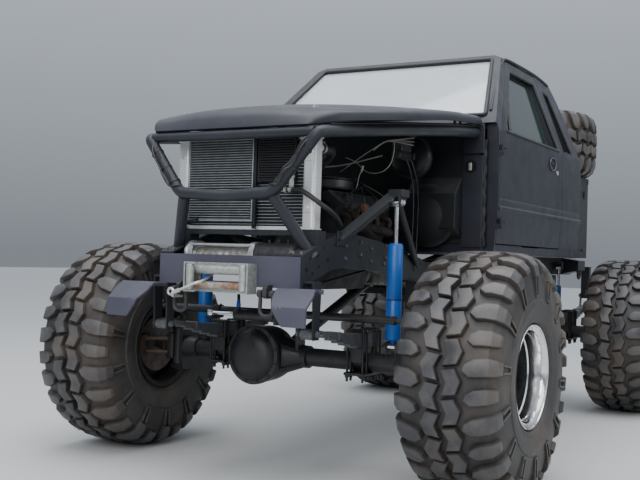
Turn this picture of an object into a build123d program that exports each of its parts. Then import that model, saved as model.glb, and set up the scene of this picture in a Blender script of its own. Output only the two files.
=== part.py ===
from build123d import *
from math import cos, pi, sin
import os

# Millimetres. The nose points to -Y, the truck's left is +X and the ground is Z = 0.
# Places along the truck are measured from the front axle. The finished pieces are
# moved so that the origin is on the ground under the middle of the whole truck.

# Reach of the shapes that only cut
FAR = 6000

# Wheels
WHEELBASE = 3130
FRONT_TRACK = 2040
REAR_TRACK = 1910
TYRE_D = 1094
TYRE_W = 470
TREAD_DEPTH = 28
PITCHES = 14
LUG_SHARE = 0.62
SHOULDER_X = 150
SHOULDER_SHARE = 0.988
LUG_FOOT_SHARE = 0.86
LUG_FOOT_X = 231
SIDEWALL_R = 340
BEAD_X = 196
RIM_SIDES = 12
RIM_SEAT_R = 209
RIM_FLANGE_R = 231
RIM_FLANGE_T = 12
RIM_OUT = 214
DISH_R = 192
DISC_X = -95
DISC_T = 14
HUB_R = 62
HUB_CAP = 75
HUB_BACK = 58
BRAKE_R = 148
BRAKE_T = 22
SPINDLE_R = 24
FIT = 0.3
SMALL_ROUND = 16
LARGE_ROUND = 110

# Frame
RAIL_OUT = 390
RAIL_W = 75
RAIL_WALL = 7
RAIL_H = 130
RAIL_TOP = 1035
TAIL_TOP = 1100
HORN_Y = -580
BUMPER_T = 10
BUMPER_HALF = 384
BUMPER_Z = (902, 1040)
WING_REACH = 190
REAR_END = 3580
TOW_BRACKET_X = 520
HANGER_T = 8

# Axles and steering
AXLE_Z = TYRE_D / 2
AXLE_TUBE_R = 45
KINGPIN_OFFSET = 305
KINGPIN_X = FRONT_TRACK / 2 - KINGPIN_OFFSET
KINGPIN_R = 20
EAR_Z = 98
EAR_T = 22
ARM_REACH = 175
ARM_Z = (EAR_Z + EAR_T + 4, EAR_Z + EAR_T + 24)
TIE_Z = 765
TIE_R = 19
TIE_EYE_R = 24
STUD_R = 10
RAM_Y = -240
RAM_Z = 752
RAM_R = 28
RAM_X = (-190, 45)
RAM_ROD_R = 9
RAM_EYE_X = -340
RAM_EYE_R = 18

# Springs and dampers
SPRING_W = 65
LEAF_T = 14
LEAVES = 5
FRONT_SPRING_X = 400
REAR_SPRING_X = 500
FRONT_SPRING_HALF = 530
REAR_SPRING_HALF = 490
SHACKLE_DROP = 100
SHACKLE_LEAN = 15
SPRING_TOP = 690
SPRING_RISE = 40
SPRING_EYE_R = 24
SPRING_PIN_R = 9
SHOCK_X = (FRONT_SPRING_X + KINGPIN_X) / 2 - 5.5
SHOCK_TOP_Z = 1312
SHOCK_BODY_Z = (658, 1120)
SHOCK_R = 37
SHOCK_ROD_R = 10
SHOCK_EYE_R = 20
SHOCK_EYE_W = 40
SHOCK_EYE_Z = 632
REAR_SHOCK_X = 425
REAR_SHOCK_TOP_Z = 1030
REAR_SHOCK_BODY_Z = (658, 890)
REAR_SHOCK_R = 22

# Drive line
DIFF_X = -160
DIFF_R = 148
DIFF_HALF = 110
PINION_REACH = 75
ENGINE_X = 245
ENGINE_Y = (-40, 560)
ENGINE_Z = (880, 1395)
AIR_CLEANER_R = 165
DRIVE_PULLEYS = (
    # x, height over the sump, radius
    (0, 190, 85),
    (0, 370, 58),
    (-170, 345, 62),
)
EXHAUST_Y = 60
EXHAUST_Z = 1245
EXHAUST_R = 26
GEARBOX_X = 165
GEARBOX_Y = (560, 1520)
GEARBOX_Z = (870, 1065)
GEARBOX_BEAM_Y = 1300

# Nose
RADIATOR_Y = -420
RADIATOR_T = 52
RADIATOR_Z = (1158, 1587)
RADIATOR_CORE_X = (-338, 300)
TANK_W = 64
TANK_R = 38
COOLER_X = (-330, 45)
COOLER_Z = (1200, 1580)
COOLER_T = 24
GUARD_R = 27
WINCH_Y = -460
WINCH_Z = 1035
WINCH_HALF = 306
DRUM_R = 42
DRUM_X = (-250, 60)
FAIRLEAD_X = (-186, 164)
FAIRLEAD_Z = (870, 1004)
FAIRLEAD_DEPTH = 74
ROLLER_Y = -614
ROLLER_R = 16
UPRIGHT_R = 11
CABLE_R = 4
CABLE_X = -95
HOOK_R = 7
SHACKLE_X = (-234, 238)
SHACKLE_R = 9
LUG_Z = (854, 914)

# Cab: outer half widths by height, and the lines of its side view
CAB_BOTTOM = 1090
CREASE_Z = 1357
BELT_Z = 1745
EAVES_Z = 2236
ROOF_Z = 2290
CAB_BOTTOM_X = 768
CREASE_X = 790
BELT_X = 785
EAVES_X = 612
LOWER_WALL = 70
UPPER_WALL = 42
END_WALL = 45
CAB_FRONT = 700
COWL_Z = 1782
SCREEN_FOOT = (735, 1800)
SCREEN_HEAD = (1235, 2258)
ROOF_REAR = (2085, 2262)
BACK_SHOULDER = (2195, 2120)
BACK_BELT = (2350, 1650)
CAB_BACK = 2355
PILLAR_FRONT = 735
FIREWALL_X = 700
POST_X = 560
DOOR_FRONT = 758
DOOR_REAR = 1915
DOOR_BOTTOM = 1145
DOOR_GAP = 6
DOOR_SLANT = 0.2
WINDOW_RIM = 52
GLASS_T = 5
HINGE_X = 802
HINGE_R = 10
HINGE_PIN_R = 5
HINGE_LEAF = 28
HINGE_HEIGHTS = (1250, 1640)
SCREEN_RIM = 48
CROWN_STEPS = 4

# Hood
HOOD_REAR = 688
HOOD_T = 20
HOOD_STEPS = 4
HOOD_HINGE_Z = 1816
HOOD_HINGE_X = 560
HOOD_HINGE_BACK = 16
HOOD_PIN_R = 4

TOE_BOARD_X = (310, 600)
TOE_BOARD = ((CAB_FRONT, 1165), (CAB_FRONT - 95, 1215), (CAB_FRONT - 95, 1400), (CAB_FRONT, 1495))

# Inside the cab and behind it
SEAT_Y = (1290, 1900)
SEAT_X = 600
WHEEL_RIM_R = 185
WHEEL_TUBE_R = 14
WHEEL_SIDES = 14
COLUMN_X = 360
CARRIER_X = 600
CARRIER_Y = (2440, 3250)
CARRIER_TOP = 1700
SPARE_X = 150
SPARE_Y = 3030

HINGE_Y = DOOR_FRONT - DOOR_GAP
FRONT_REACH = -HORN_Y + BUMPER_T + WING_REACH
FRONT_AXLE_Y = (FRONT_REACH - WHEELBASE - TYRE_D / 2) / 2
SPRING_EYE_Z = SPRING_TOP + SPRING_RISE - SPRING_EYE_R


def box(x, y, z):
    """Box from pairs of low and high values."""
    size = Box(x[1] - x[0], y[1] - y[0], z[1] - z[0])
    return Pos((x[0] + x[1]) / 2, (y[0] + y[1]) / 2, (z[0] + z[1]) / 2) * size


def ring(origin, direction, radius, sides):
    """Corner points of a regular polygon round an axis."""
    plane = Plane(origin=origin, z_dir=direction)
    angles = [2 * pi * n / sides for n in range(sides)]
    return [plane.from_local_coords((radius * cos(a), radius * sin(a), 0)) for a in angles]


def skinned(rings, twisted=False):
    """Solid with flat faces between rings of corner points, closed by a face at each end.

    Sides that would twist between unlike rings are each cut into two triangles.
    """
    outlines = [rings[0], rings[-1]]
    for near, far in zip(rings, rings[1:]):
        for n in range(len(near)):
            side = [near[n - 1], near[n], far[n], far[n - 1]]
            outlines += [side[:3], side[2:] + side[:1]] if twisted else [side]
    return Solid(Shell([Face(Wire.make_polygon(outline)) for outline in outlines]))


def sides_for(radius):
    """Number of flat sides that stands for a circle."""
    if radius < SMALL_ROUND:
        return 6
    return 8 if radius < LARGE_ROUND else 12


def cone(start, end, radius, end_radius):
    """Many-sided cone between two points."""
    line = Vector(end) - Vector(start)
    sides = sides_for(radius)
    return skinned([ring(start, line, radius, sides), ring(end, line, end_radius, sides)])


def bar(start, end, radius):
    """Many-sided bar between two points."""
    return cone(start, end, radius, radius)


def post(x, y, z, radius):
    """Upright bar between a pair of heights."""
    return bar((x, y, z[0]), (x, y, z[1]), radius)


def bore(start, end, radius):
    """Many-sided bar that clears a round of this radius, for cutting holes."""
    return bar(start, end, radius / cos(pi / sides_for(radius)))


def eased(points, cut):
    """Points of a run with each corner cut into a short slanted run."""
    points = [Vector(point) for point in points]
    run = [points[0]]
    for before, corner, after in zip(points, points[1:], points[2:]):
        first = corner + (before - corner).normalized() * cut
        last = corner + (after - corner).normalized() * cut
        run += [first, last]
    return run + [points[-1]]


def tube(points, radius):
    """Many-sided tube along straight runs, mitred where they meet."""
    points = [Vector(point) for point in points]
    runs = [(b - a).normalized() for a, b in zip(points, points[1:])]
    rings = [ring(points[0], runs[0], radius, sides_for(radius))]
    for n, corner in enumerate(points[1:]):
        way = runs[n]
        cut = way + runs[n + 1] if n + 1 < len(runs) else way
        rings.append([at + way * ((corner - at).dot(cut) / way.dot(cut)) for at in rings[-1]])
    return skinned(rings)


def side_plate(points, x0, x1):
    """Outline in Y and Z, extruded from x0 to x1."""
    outline = Polyline(*[(x0, y, z) for y, z in points], close=True)
    return extrude(make_face(outline.edges()), x1 - x0, dir=(1, 0, 0))


def front_plate(points, y0, y1):
    """Outline in X and Z, extruded from y0 to y1."""
    outline = Polyline(*[(x, y0, z) for x, z in points], close=True)
    return extrude(make_face(outline.edges()), y1 - y0, dir=(0, 1, 0))


def both(piece):
    """A left piece with its mirror image on the right."""
    return [piece, mirror(piece, about=Plane.YZ)]


def pair(piece):
    """Left and right pieces that share a node."""
    return Compound(both(piece))


def fused(pieces):
    """One solid from pieces that meet."""
    shape = pieces[0]
    for piece in pieces[1:]:
        shape = shape + piece
    return shape


def across(x):
    """Plane square to the X axis, with Y to its right."""
    return Plane(origin=(x, 0, 0), x_dir=(0, 1, 0), z_dir=(1, 0, 0))


def turned(stations, sides):
    """Many-sided turned shape from (x, radius) stations along the X axis."""
    return skinned([ring((x, 0, 0), (1, 0, 0), r, sides) for x, r in stations])


def lug_ring(x, share):
    """Tread outline at x, a share of its size at the middle: flat lug tips with a vee groove between them.

    The tips reach as far as puts the edges of the lowest staggered lugs on the ground.
    """
    pitch = 2 * pi / PITCHES
    half = LUG_SHARE * pitch / 2
    tip = TYRE_D / 2 / cos(pitch / 2 - half)
    points = []
    for n in range(PITCHES):
        middle = (n + 0.5) * pitch
        for angle, r in ((middle - half, tip), (middle + half, tip), (middle + pitch / 2, tip - TREAD_DEPTH)):
            points.append(Vector(x, share * r * cos(angle), share * r * sin(angle)))
    return points


def tyre():
    """Mud tyre on the X axis. The lugs of the two sides are half a pitch apart."""
    lugs = skinned([lug_ring(0, 1), lug_ring(SHOULDER_X, SHOULDER_SHARE), lug_ring(LUG_FOOT_X, LUG_FOOT_SHARE)])
    foot = LUG_FOOT_SHARE * (TYRE_D / 2 - TREAD_DEPTH)
    sidewall = turned([(LUG_FOOT_X, foot), (TYRE_W / 2, SIDEWALL_R)], PITCHES)
    bore_r = (RIM_SEAT_R + FIT) / cos(pi / PITCHES)
    recess = turned([(BEAD_X, bore_r + 2), (TYRE_W / 2, SIDEWALL_R)], PITCHES)
    half = lugs + sidewall - recess
    other = Rot(180 / PITCHES, 0, 0) * mirror(half, about=Plane.YZ)
    return half + other - turned([(-TYRE_W, bore_r), (TYRE_W, bore_r)], PITCHES)


def rim():
    """Deep wheel on the X axis, its dish open to +X, with its hub and the brake disc behind it."""
    inner_end = -BEAD_X - RIM_FLANGE_T
    back = DISC_X - HUB_BACK
    bore_r = (SPINDLE_R + FIT) / cos(pi / RIM_SIDES)
    face = DISC_X + DISC_T
    return turned([
        (DISC_X, bore_r), (back, bore_r), (back, BRAKE_R), (back + BRAKE_T, BRAKE_R), (back + BRAKE_T, HUB_R + 14),
        (DISC_X, HUB_R + 14), (DISC_X, DISH_R - 10),
        (inner_end, DISH_R), (inner_end, RIM_FLANGE_R), (-BEAD_X, RIM_SEAT_R), (BEAD_X, RIM_SEAT_R),
        (RIM_OUT, RIM_FLANGE_R), (RIM_OUT, DISH_R), (face, DISH_R - 20), (face, HUB_R), (DISC_X + HUB_CAP, HUB_R - 8),
    ], RIM_SIDES)


def wheels():
    """Tyres and wheels at the four corners, dishes outwards, and the spare lying flat."""
    corners = (
        # name, track, place along the truck
        ("front", FRONT_TRACK, 0),
        ("rear", REAR_TRACK, WHEELBASE),
    )
    tyre_shape = tyre()
    rim_shape = rim()
    pieces = {}
    for name, track, y in corners:
        left = Pos(track / 2, y, AXLE_Z)
        right = Pos(-track / 2, y, AXLE_Z) * Rot(0, 0, 180)
        for side, place in (("left", left), ("right", right)):
            pieces[f"tyre_{name}_{side}"] = place * tyre_shape
            pieces[f"rim_{name}_{side}"] = place * rim_shape
    lying = Pos(SPARE_X, SPARE_Y, CARRIER_TOP + TYRE_W / 2) * Rot(0, -90, 0)
    pieces["spare_tyre"] = lying * tyre_shape
    pieces["spare_rim"] = lying * rim_shape
    return pieces


def rail_side(grow=0):
    """Side view of a frame rail: horn, hump over the axle, level middle, rise to the tail."""
    top = (
        (HORN_Y, 1049), (-347, 1130), (-254, 1156), (-120, 1156), (150, 1130),
        (720, RAIL_TOP), (2330, RAIL_TOP), (2680, TAIL_TOP), (REAR_END, TAIL_TOP),
    )
    under = (
        (REAR_END, TAIL_TOP - RAIL_H), (2700, TAIL_TOP - RAIL_H), (2345, RAIL_TOP - RAIL_H),
        (710, RAIL_TOP - RAIL_H), (160, 985), (-200, 996), (-330, 985), (HORN_Y, 907),
    )
    return [(y, z + grow) for y, z in top] + [(y, z - grow) for y, z in under]


def spring_hanger(x, y, top_z):
    """Two plates beside a spring eye, hung from a cap plate, with the eye's bolt."""
    half = SPRING_W / 2
    reach = SPRING_EYE_R + 10
    outline = [
        (y - SPRING_EYE_R, SPRING_EYE_Z - SPRING_EYE_R), (y + SPRING_EYE_R, SPRING_EYE_Z - SPRING_EYE_R),
        (y + reach, top_z), (y - reach, top_z),
    ]
    outer = side_plate(outline, x + half, x + half + HANGER_T)
    inner = side_plate(outline, x - half - HANGER_T, x - half)
    cap = box((RAIL_OUT - RAIL_W, x + half + HANGER_T), (y - reach, y + reach), (top_z - HANGER_T, top_z))
    bolt = bar((x - half - HANGER_T, y, SPRING_EYE_Z), (x + half + HANGER_T, y, SPRING_EYE_Z), SPRING_PIN_R)
    return outer + inner + cap + bolt


def shackle_hanger(x, y, top_z):
    """Block between a shackle's plates, with the plate that ties it to the rail."""
    half = SPRING_W / 2
    head = SPRING_EYE_Z + SHACKLE_DROP
    block = box((x - half, x + half), (y - 8, y + 38), (head - 22, top_z))
    cap = box((RAIL_OUT - RAIL_W, x + half), (y - 22, y + 52), (top_z - HANGER_T, top_z))
    bolt = bar((x - SPRING_W, y + SHACKLE_LEAN, head), (x + SPRING_W, y + SHACKLE_LEAN, head), SPRING_PIN_R)
    return block + cap - bolt


def frame_rail():
    """Left frame rail: a channel open to the middle, with its spring hangers."""
    inner = RAIL_OUT - RAIL_W
    solid_rail = side_plate(rail_side(), inner, RAIL_OUT)
    rail = solid_rail - side_plate(rail_side(-RAIL_WALL), inner - 1, RAIL_OUT - RAIL_WALL)
    hangers = [
        spring_hanger(FRONT_SPRING_X, -FRONT_SPRING_HALF, 935),
        spring_hanger(REAR_SPRING_X, WHEELBASE - REAR_SPRING_HALF, RAIL_TOP - RAIL_H / 2),
        shackle_hanger(FRONT_SPRING_X, FRONT_SPRING_HALF, 935),
        shackle_hanger(REAR_SPRING_X, WHEELBASE + REAR_SPRING_HALF, TAIL_TOP - RAIL_H / 2),
    ]
    cap_z = REAR_SHOCK_TOP_Z + SHOCK_EYE_R + 6
    ears = shock_ears(REAR_SHOCK_X, WHEELBASE, REAR_SHOCK_TOP_Z - SHOCK_EYE_R, cap_z)
    cap_out = REAR_SHOCK_X + SHOCK_EYE_W / 2 + HANGER_T
    cap = box((inner, cap_out), (WHEELBASE - SHOCK_EYE_R, WHEELBASE + SHOCK_EYE_R), (cap_z, cap_z + HANGER_T))
    for hanger in hangers + [fused([cap] + ears)]:
        rail += hanger - solid_rail
    return rail


def crossmembers():
    """Members between the rails, each meeting both webs."""
    web = RAIL_OUT - RAIL_WALL
    tubes = ((2250, 965, 34), (3060, 1040, 34), (3500, 1040, 34))
    members = [bar((-web, y, z), (web, y, z), r) for y, z, r in tubes]
    ends = (RADIATOR_Y - 36, RADIATOR_Y + 36)
    support = box((-RAIL_OUT, RAIL_OUT), ends, (1070, RADIATOR_Z[0]))
    support -= box((RAIL_W - RAIL_OUT, RAIL_OUT - RAIL_W), ends, (1000, RADIATOR_Z[0] - 22))
    for rail in both(side_plate(rail_side(), RAIL_OUT - RAIL_W, RAIL_OUT)):
        support -= rail
    low = (GEARBOX_Z[0] - 40, GEARBOX_Z[0])
    beam_ends = (GEARBOX_BEAM_Y - 50, GEARBOX_BEAM_Y + 50)
    beam = box((-web, web), beam_ends, low)
    for pad in both(box((RAIL_OUT - RAIL_W, web), beam_ends, (low[1], RAIL_TOP - RAIL_H))):
        beam += pad
    outline = [(RAIL_OUT, TAIL_TOP), (TOW_BRACKET_X, TAIL_TOP - 20), (TOW_BRACKET_X, TAIL_TOP - 95),
               (RAIL_OUT, TAIL_TOP - 125)]
    brackets = both(front_plate(outline, REAR_END - 260, REAR_END - 60))
    return Compound(members + support.solids() + beam.solids() + brackets)


def leaf_pack(reach):
    """Stepped leaf pack about the axle, with an eye at each end."""
    top = []
    under = []
    for n in range(LEAVES):
        y = reach * (1 - n / LEAVES)
        top_leaf = SPRING_TOP + SPRING_RISE * (y / reach) ** 2
        top.append((y, top_leaf))
        under.append((y, top_leaf - n * LEAF_T))
        under.append((y, top_leaf - (n + 1) * LEAF_T))
    top = [(-y, z) for y, z in top] + top[::-1]
    under = under[1:] + [(-y, z) for y, z in reversed(under[1:])]
    half = SPRING_W / 2
    pack = side_plate(top + under, -half, half)
    for y in (-reach, reach):
        pack += bar((-half, y, SPRING_EYE_Z), (half, y, SPRING_EYE_Z), SPRING_EYE_R)
    for y in (-reach, reach):
        pack -= bar((-SPRING_W, y, SPRING_EYE_Z), (SPRING_W, y, SPRING_EYE_Z), SPRING_PIN_R)
    return pack


def shackle(reach):
    """Link plates from the rear eye up to the hanger, with both bolts."""
    half = SPRING_W / 2
    low = (reach, SPRING_EYE_Z)
    high = (reach + SHACKLE_LEAN, SPRING_EYE_Z + SHACKLE_DROP)
    parts = [bar((-half - HANGER_T, y, z), (half + HANGER_T, y, z), SPRING_PIN_R) for y, z in (low, high)]
    outline = [(low[0] - 20, low[1] - 20), (low[0] + 20, low[1] - 20),
               (high[0] + 20, high[1] + 20), (high[0] - 20, high[1] + 20)]
    parts.append(side_plate(outline, -half - HANGER_T, -half))
    parts.append(side_plate(outline, half, half + HANGER_T))
    return fused(parts)


def springs(x, y, reach):
    """Left and right packs of one axle with their shackles."""
    place = Pos(x, y, 0)
    return Compound(both(place * leaf_pack(reach)) + both(place * shackle(reach)))


def shock(x, y, foot_z, head_z, body_z, radius):
    """Damper: eye, body, polished rod and top eye."""
    half = SHOCK_EYE_W / 2
    parts = [bar((x, y, foot_z), (x, y, head_z), SHOCK_ROD_R), bar((x, y, body_z[0]), (x, y, body_z[1]), radius)]
    for z in (foot_z, head_z):
        parts.append(bar((x - half, y, z), (x + half, y, z), SHOCK_EYE_R))
    return fused(parts)


def shock_ears(x, y, low, high):
    """Two ears that hold a damper's eye, from height low to high."""
    half = SHOCK_EYE_W / 2
    ears = []
    for start in (x - half - HANGER_T, x + half):
        ears.append(box((start, start + HANGER_T), (y - SHOCK_EYE_R, y + SHOCK_EYE_R), (low, high)))
    return ears


def shock_tower():
    """Left tower: two struts from the rail up to the damper's top ears."""
    top = (SHOCK_X - 30, 26, SHOCK_TOP_Z + 62)
    struts = [bar((RAIL_OUT - 20, -260, 1110), top, 21), bar((RAIL_OUT - 10, 640, 990), top, 21)]
    cap = box((SHOCK_X - 40, SHOCK_X + 40), (-24, 60), (SHOCK_TOP_Z + 24, SHOCK_TOP_Z + 66))
    ears = shock_ears(SHOCK_X, 0, SHOCK_TOP_Z - 20, SHOCK_TOP_Z + 30)
    tower = fused(struts + [cap] + ears)
    return tower & box((RAIL_OUT, 900), (-900, 1500), (800, 1700))


def diff_housing(x, y, side):
    """Round centre housing on an axle tube. Its pinion is on the given side, 1 for the rear."""
    front = y - side * DIFF_HALF
    rear = y + side * DIFF_HALF
    drum = bar((x, front, AXLE_Z), (x, rear, AXLE_Z), DIFF_R)
    cover = cone((x, front, AXLE_Z), (x, front - side * 60, AXLE_Z), DIFF_R - 6, DIFF_R - 53)
    necks = []
    for hand in (-1, 1):
        start = x + hand * (DIFF_R - 65)
        necks.append(cone((start, y, AXLE_Z), (start + hand * 150, y, AXLE_Z), 105, AXLE_TUBE_R + 6))
    pinion = bar((x, rear, AXLE_Z + 10), (x, rear + side * PINION_REACH, AXLE_Z + 10), 52)
    return fused([drum, cover, pinion] + necks)


def spring_clamp(x, y):
    """Plate, two U-bolts and top pad that hold a spring pack on the axle tube."""
    half = SPRING_W / 2 + 9
    pack_foot = SPRING_TOP - LEAVES * LEAF_T
    parts = [
        box((x - half - 8, x + half + 8), (y - 105, y + 105), (AXLE_Z - AXLE_TUBE_R - 14, AXLE_Z - AXLE_TUBE_R + 3)),
        box((x - SPRING_W / 2, x + SPRING_W / 2), (y - 80, y + 80), (AXLE_Z, pack_foot)),
        box((x - half - 8, x + half + 8), (y - 98, y + 98), (SPRING_TOP + 2, SPRING_TOP + 12)),
    ]
    for side in (-half, half):
        for along in (-88, 88):
            limb = (x + side, y + along)
            ends = (AXLE_Z - AXLE_TUBE_R - 8, SPRING_TOP + 7)
            parts.append(box((limb[0] - 6, limb[0] + 6), (limb[1] - 6, limb[1] + 6), ends))
    return parts


def front_axle():
    """Tube, offset housing, spring clamps, damper ears and the forks of the steering knuckles."""
    reach = KINGPIN_X - 45
    parts = [bar((-reach, 0, AXLE_Z), (reach, 0, AXLE_Z), AXLE_TUBE_R), diff_housing(DIFF_X, 0, 1)]
    left = spring_clamp(FRONT_SPRING_X, 0) + shock_ears(SHOCK_X, 0, AXLE_Z, SHOCK_EYE_Z + 22)
    left.append(box((KINGPIN_X - 62, KINGPIN_X - 42), (-55, 55), (AXLE_Z - EAR_Z - EAR_T, AXLE_Z + EAR_Z + EAR_T)))
    for low in (AXLE_Z - EAR_Z - EAR_T, AXLE_Z + EAR_Z):
        ear = box((KINGPIN_X - 42, KINGPIN_X), (-42, 42), (low, low + EAR_T))
        ear += post(KINGPIN_X, 0, (low, low + EAR_T), 42)
        left.append(ear - bore((KINGPIN_X, 0, low), (KINGPIN_X, 0, low + EAR_T), KINGPIN_R + FIT))
    for piece in left:
        parts += both(piece)
    ram_end = (RAM_X[1], RAM_X[1] + 16)
    under_rod = TIE_Z - TIE_R - 10
    parts.append(box(ram_end, (-60, 20), (AXLE_Z + 20, under_rod)))
    parts.append(box(ram_end, (RAM_Y - RAM_R, -60), (under_rod - 26, under_rod)))
    parts.append(box(ram_end, (RAM_Y - RAM_R, RAM_Y + RAM_R), (under_rod - 26, RAM_Z + RAM_R)))
    return fused(parts)


def rear_axle():
    """Tube, centre housing, spring clamps and damper ears, with a spindle at each end."""
    disc = REAR_TRACK / 2 + DISC_X
    parts = [
        bar((HUB_BACK - disc, WHEELBASE, AXLE_Z), (disc - HUB_BACK, WHEELBASE, AXLE_Z), AXLE_TUBE_R),
        bar((-disc, WHEELBASE, AXLE_Z), (disc, WHEELBASE, AXLE_Z), SPINDLE_R),
        diff_housing(0, WHEELBASE, -1),
    ]
    left = spring_clamp(REAR_SPRING_X, WHEELBASE)
    left += shock_ears(REAR_SHOCK_X, WHEELBASE, AXLE_Z, SHOCK_EYE_Z + 22)
    for piece in left:
        parts += both(piece)
    return fused(parts)


def knuckle():
    """Left steering knuckle: kingpin, spindle flange, spindle and the raised steering arm."""
    disc = FRONT_TRACK / 2 + DISC_X
    inside = EAR_Z - FIT
    pin_low = AXLE_Z - EAR_Z - EAR_T
    top = AXLE_Z + ARM_Z[1]
    parts = [
        post(KINGPIN_X, 0, (AXLE_Z - inside, AXLE_Z + inside), 34),
        post(KINGPIN_X, 0, (pin_low, top), KINGPIN_R),
        box((KINGPIN_X, KINGPIN_X + 52), (-58, 58), (AXLE_Z - 75, AXLE_Z + 75)),
        bar((KINGPIN_X, 0, AXLE_Z), (disc, 0, AXLE_Z), SPINDLE_R),
        box((KINGPIN_X - 26, KINGPIN_X + 26), (-ARM_REACH, 0), (AXLE_Z + ARM_Z[0], top)),
        post(KINGPIN_X, 0, (AXLE_Z + ARM_Z[0], top), 36),
        post(KINGPIN_X, -ARM_REACH, (AXLE_Z + ARM_Z[0], top), 26),
        post(KINGPIN_X, -ARM_REACH, (top, TIE_Z + TIE_EYE_R + 6), STUD_R),
    ]
    return fused(parts)


def tie_rod():
    """Rod between the two arm studs, with the lug that the ram's eye rests over."""
    span = bar((-KINGPIN_X, -ARM_REACH, TIE_Z), (KINGPIN_X, -ARM_REACH, TIE_Z), TIE_R)
    lug = box((RAM_EYE_X - 22, RAM_EYE_X + 22), (RAM_Y - 20, -ARM_REACH), (RAM_Z - 30, RAM_Z - 14))
    clamp = box((RAM_EYE_X - 22, RAM_EYE_X + 22), (-ARM_REACH - 25, -ARM_REACH + 25), (RAM_Z - 30, TIE_Z + 24))
    rod = fused([span, lug, clamp])
    for side in (-1, 1):
        rod += post(side * KINGPIN_X, -ARM_REACH, (TIE_Z - TIE_EYE_R, TIE_Z + TIE_EYE_R), TIE_EYE_R)
    for side in (-1, 1):
        low, high = ((side * KINGPIN_X, -ARM_REACH, TIE_Z + over) for over in (-2 * TIE_EYE_R, 2 * TIE_EYE_R))
        rod -= bore(low, high, STUD_R + FIT)
    return rod


def steering_ram():
    """Barrel on the axle's post, and its rod with a flat eye."""
    barrel = bar((RAM_X[0], RAM_Y, RAM_Z), (RAM_X[1], RAM_Y, RAM_Z), RAM_R)
    barrel -= bore((RAM_X[0], RAM_Y, RAM_Z), (RAM_X[1] - 20, RAM_Y, RAM_Z), RAM_ROD_R + FIT)
    rod = bar((RAM_EYE_X, RAM_Y, RAM_Z), (RAM_X[1] - 120, RAM_Y, RAM_Z), RAM_ROD_R)
    eye = post(RAM_EYE_X, RAM_Y, (RAM_Z - 14 + FIT, RAM_Z + 14 - FIT), RAM_EYE_R)
    return barrel, rod + eye


def engine():
    """Block with sump and heads, rocker covers, intake with its round air cleaner, and the front drive."""
    y0, y1 = ENGINE_Y
    z0, z1 = ENGINE_Z
    port_low, port_high = EXHAUST_Z - 45, EXHAUST_Z + 45
    outline = [(-120, z0), (120, z0), (150, z0 + 130), (ENGINE_X, port_low), (ENGINE_X, port_high), (90, z1 - 65),
               (-90, z1 - 65), (-ENGINE_X, port_high), (-ENGINE_X, port_low), (-150, z0 + 130)]
    parts = [front_plate(outline, y0, y1)]
    cover = [(235, port_high - 12), (262, port_high + 26), (172, z1 - 14), (132, z1 - 60)]
    parts += both(front_plate(cover, y0 + 30, y1 - 30))
    middle = (y0 + y1) / 2
    parts.append(box((-70, 70), (middle - 120, middle + 120), (z1 - 70, z1)))
    parts.append(post(0, middle, (z1 - 5, z1 + 62), AIR_CLEANER_R))
    for x, z, r in DRIVE_PULLEYS:
        parts.append(bar((x, y0 - 60, z0 + z), (x, y0, z0 + z), r))
    parts += both(box((100, RAIL_OUT - RAIL_W), (200, 290), (1000, 1040)))
    return fused(parts)


def gearbox():
    """Bell housing narrowing to the gearbox, with the transfer case at its end."""
    y0, y1 = GEARBOX_Y
    z0, z1 = GEARBOX_Z
    middle = (z0 + z1) / 2
    bell = cone((0, y0, middle), (0, y0 + 200, middle), z1 - middle, z1 - middle - 42)
    case = box((-75, 75), (y0, y1 - 260), (z0 + 25, z1 - 25))
    transfer = box((-GEARBOX_X - 60, 110), (y1 - 270, y1), (z0, z1 - 20))
    foot = box((-60, 60), (GEARBOX_BEAM_Y - 45, GEARBOX_BEAM_Y + 45), (z0, middle))
    return fused([bell, case, transfer, foot])


def propeller_shafts():
    """Front and rear shafts between the transfer case and the axle housings."""
    middle = sum(GEARBOX_Z) / 2
    y0 = GEARBOX_Y[1] - 270
    y1 = GEARBOX_Y[1]
    flange = DIFF_HALF + PINION_REACH
    front = bar((DIFF_X, flange - 30, AXLE_Z + 10), (-GEARBOX_X, y0 + 30, middle - 15), 32)
    front = front & box((-900, 900), (flange, y0), (0, 1500))
    rear = bar((0, y1 - 30, middle), (0, WHEELBASE - flange + 30, AXLE_Z + 10), 38)
    rear = rear & box((-900, 900), (y1, WHEELBASE - flange), (0, 1500))
    return Compound(front.solids() + rear.solids())


def exhaust():
    """Pipe from the engine's left side down and back under the cab."""
    beside = ENGINE_X + 58
    route = [(ENGINE_X, EXHAUST_Y, EXHAUST_Z), (beside, EXHAUST_Y, EXHAUST_Z), (278, 330, 1130),
             (262, 700, 985), (255, 1200, 975), (255, 2150, 975)]
    return tube(eased(route, 40), EXHAUST_R)


def radiator():
    """Finned core between two rounded end tanks."""
    half = RADIATOR_T / 2
    low, high = RADIATOR_Z
    core = box(RADIATOR_CORE_X, (RADIATOR_Y - half, RADIATOR_Y + half), (low + 8, high - 8))
    parts = [core]
    for x, side in ((RADIATOR_CORE_X[0], -1), (RADIATOR_CORE_X[1], 1)):
        outline = Rectangle(TANK_W, 2 * TANK_R - 2)
        outline = chamfer(outline.vertices(), 18)
        place = Pos(x + side * TANK_W / 2, RADIATOR_Y, low)
        parts.append(extrude(place * outline, high - low))
    filler = bar((RADIATOR_CORE_X[1] + 30, RADIATOR_Y, high), (RADIATOR_CORE_X[1] + 30, RADIATOR_Y, high + 22), 24)
    return fused(parts + [filler])


def oil_cooler():
    """Flat cooler on the front of the radiator."""
    front = RADIATOR_Y - RADIATOR_T / 2
    return box(COOLER_X, (front - COOLER_T, front), COOLER_Z)


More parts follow.
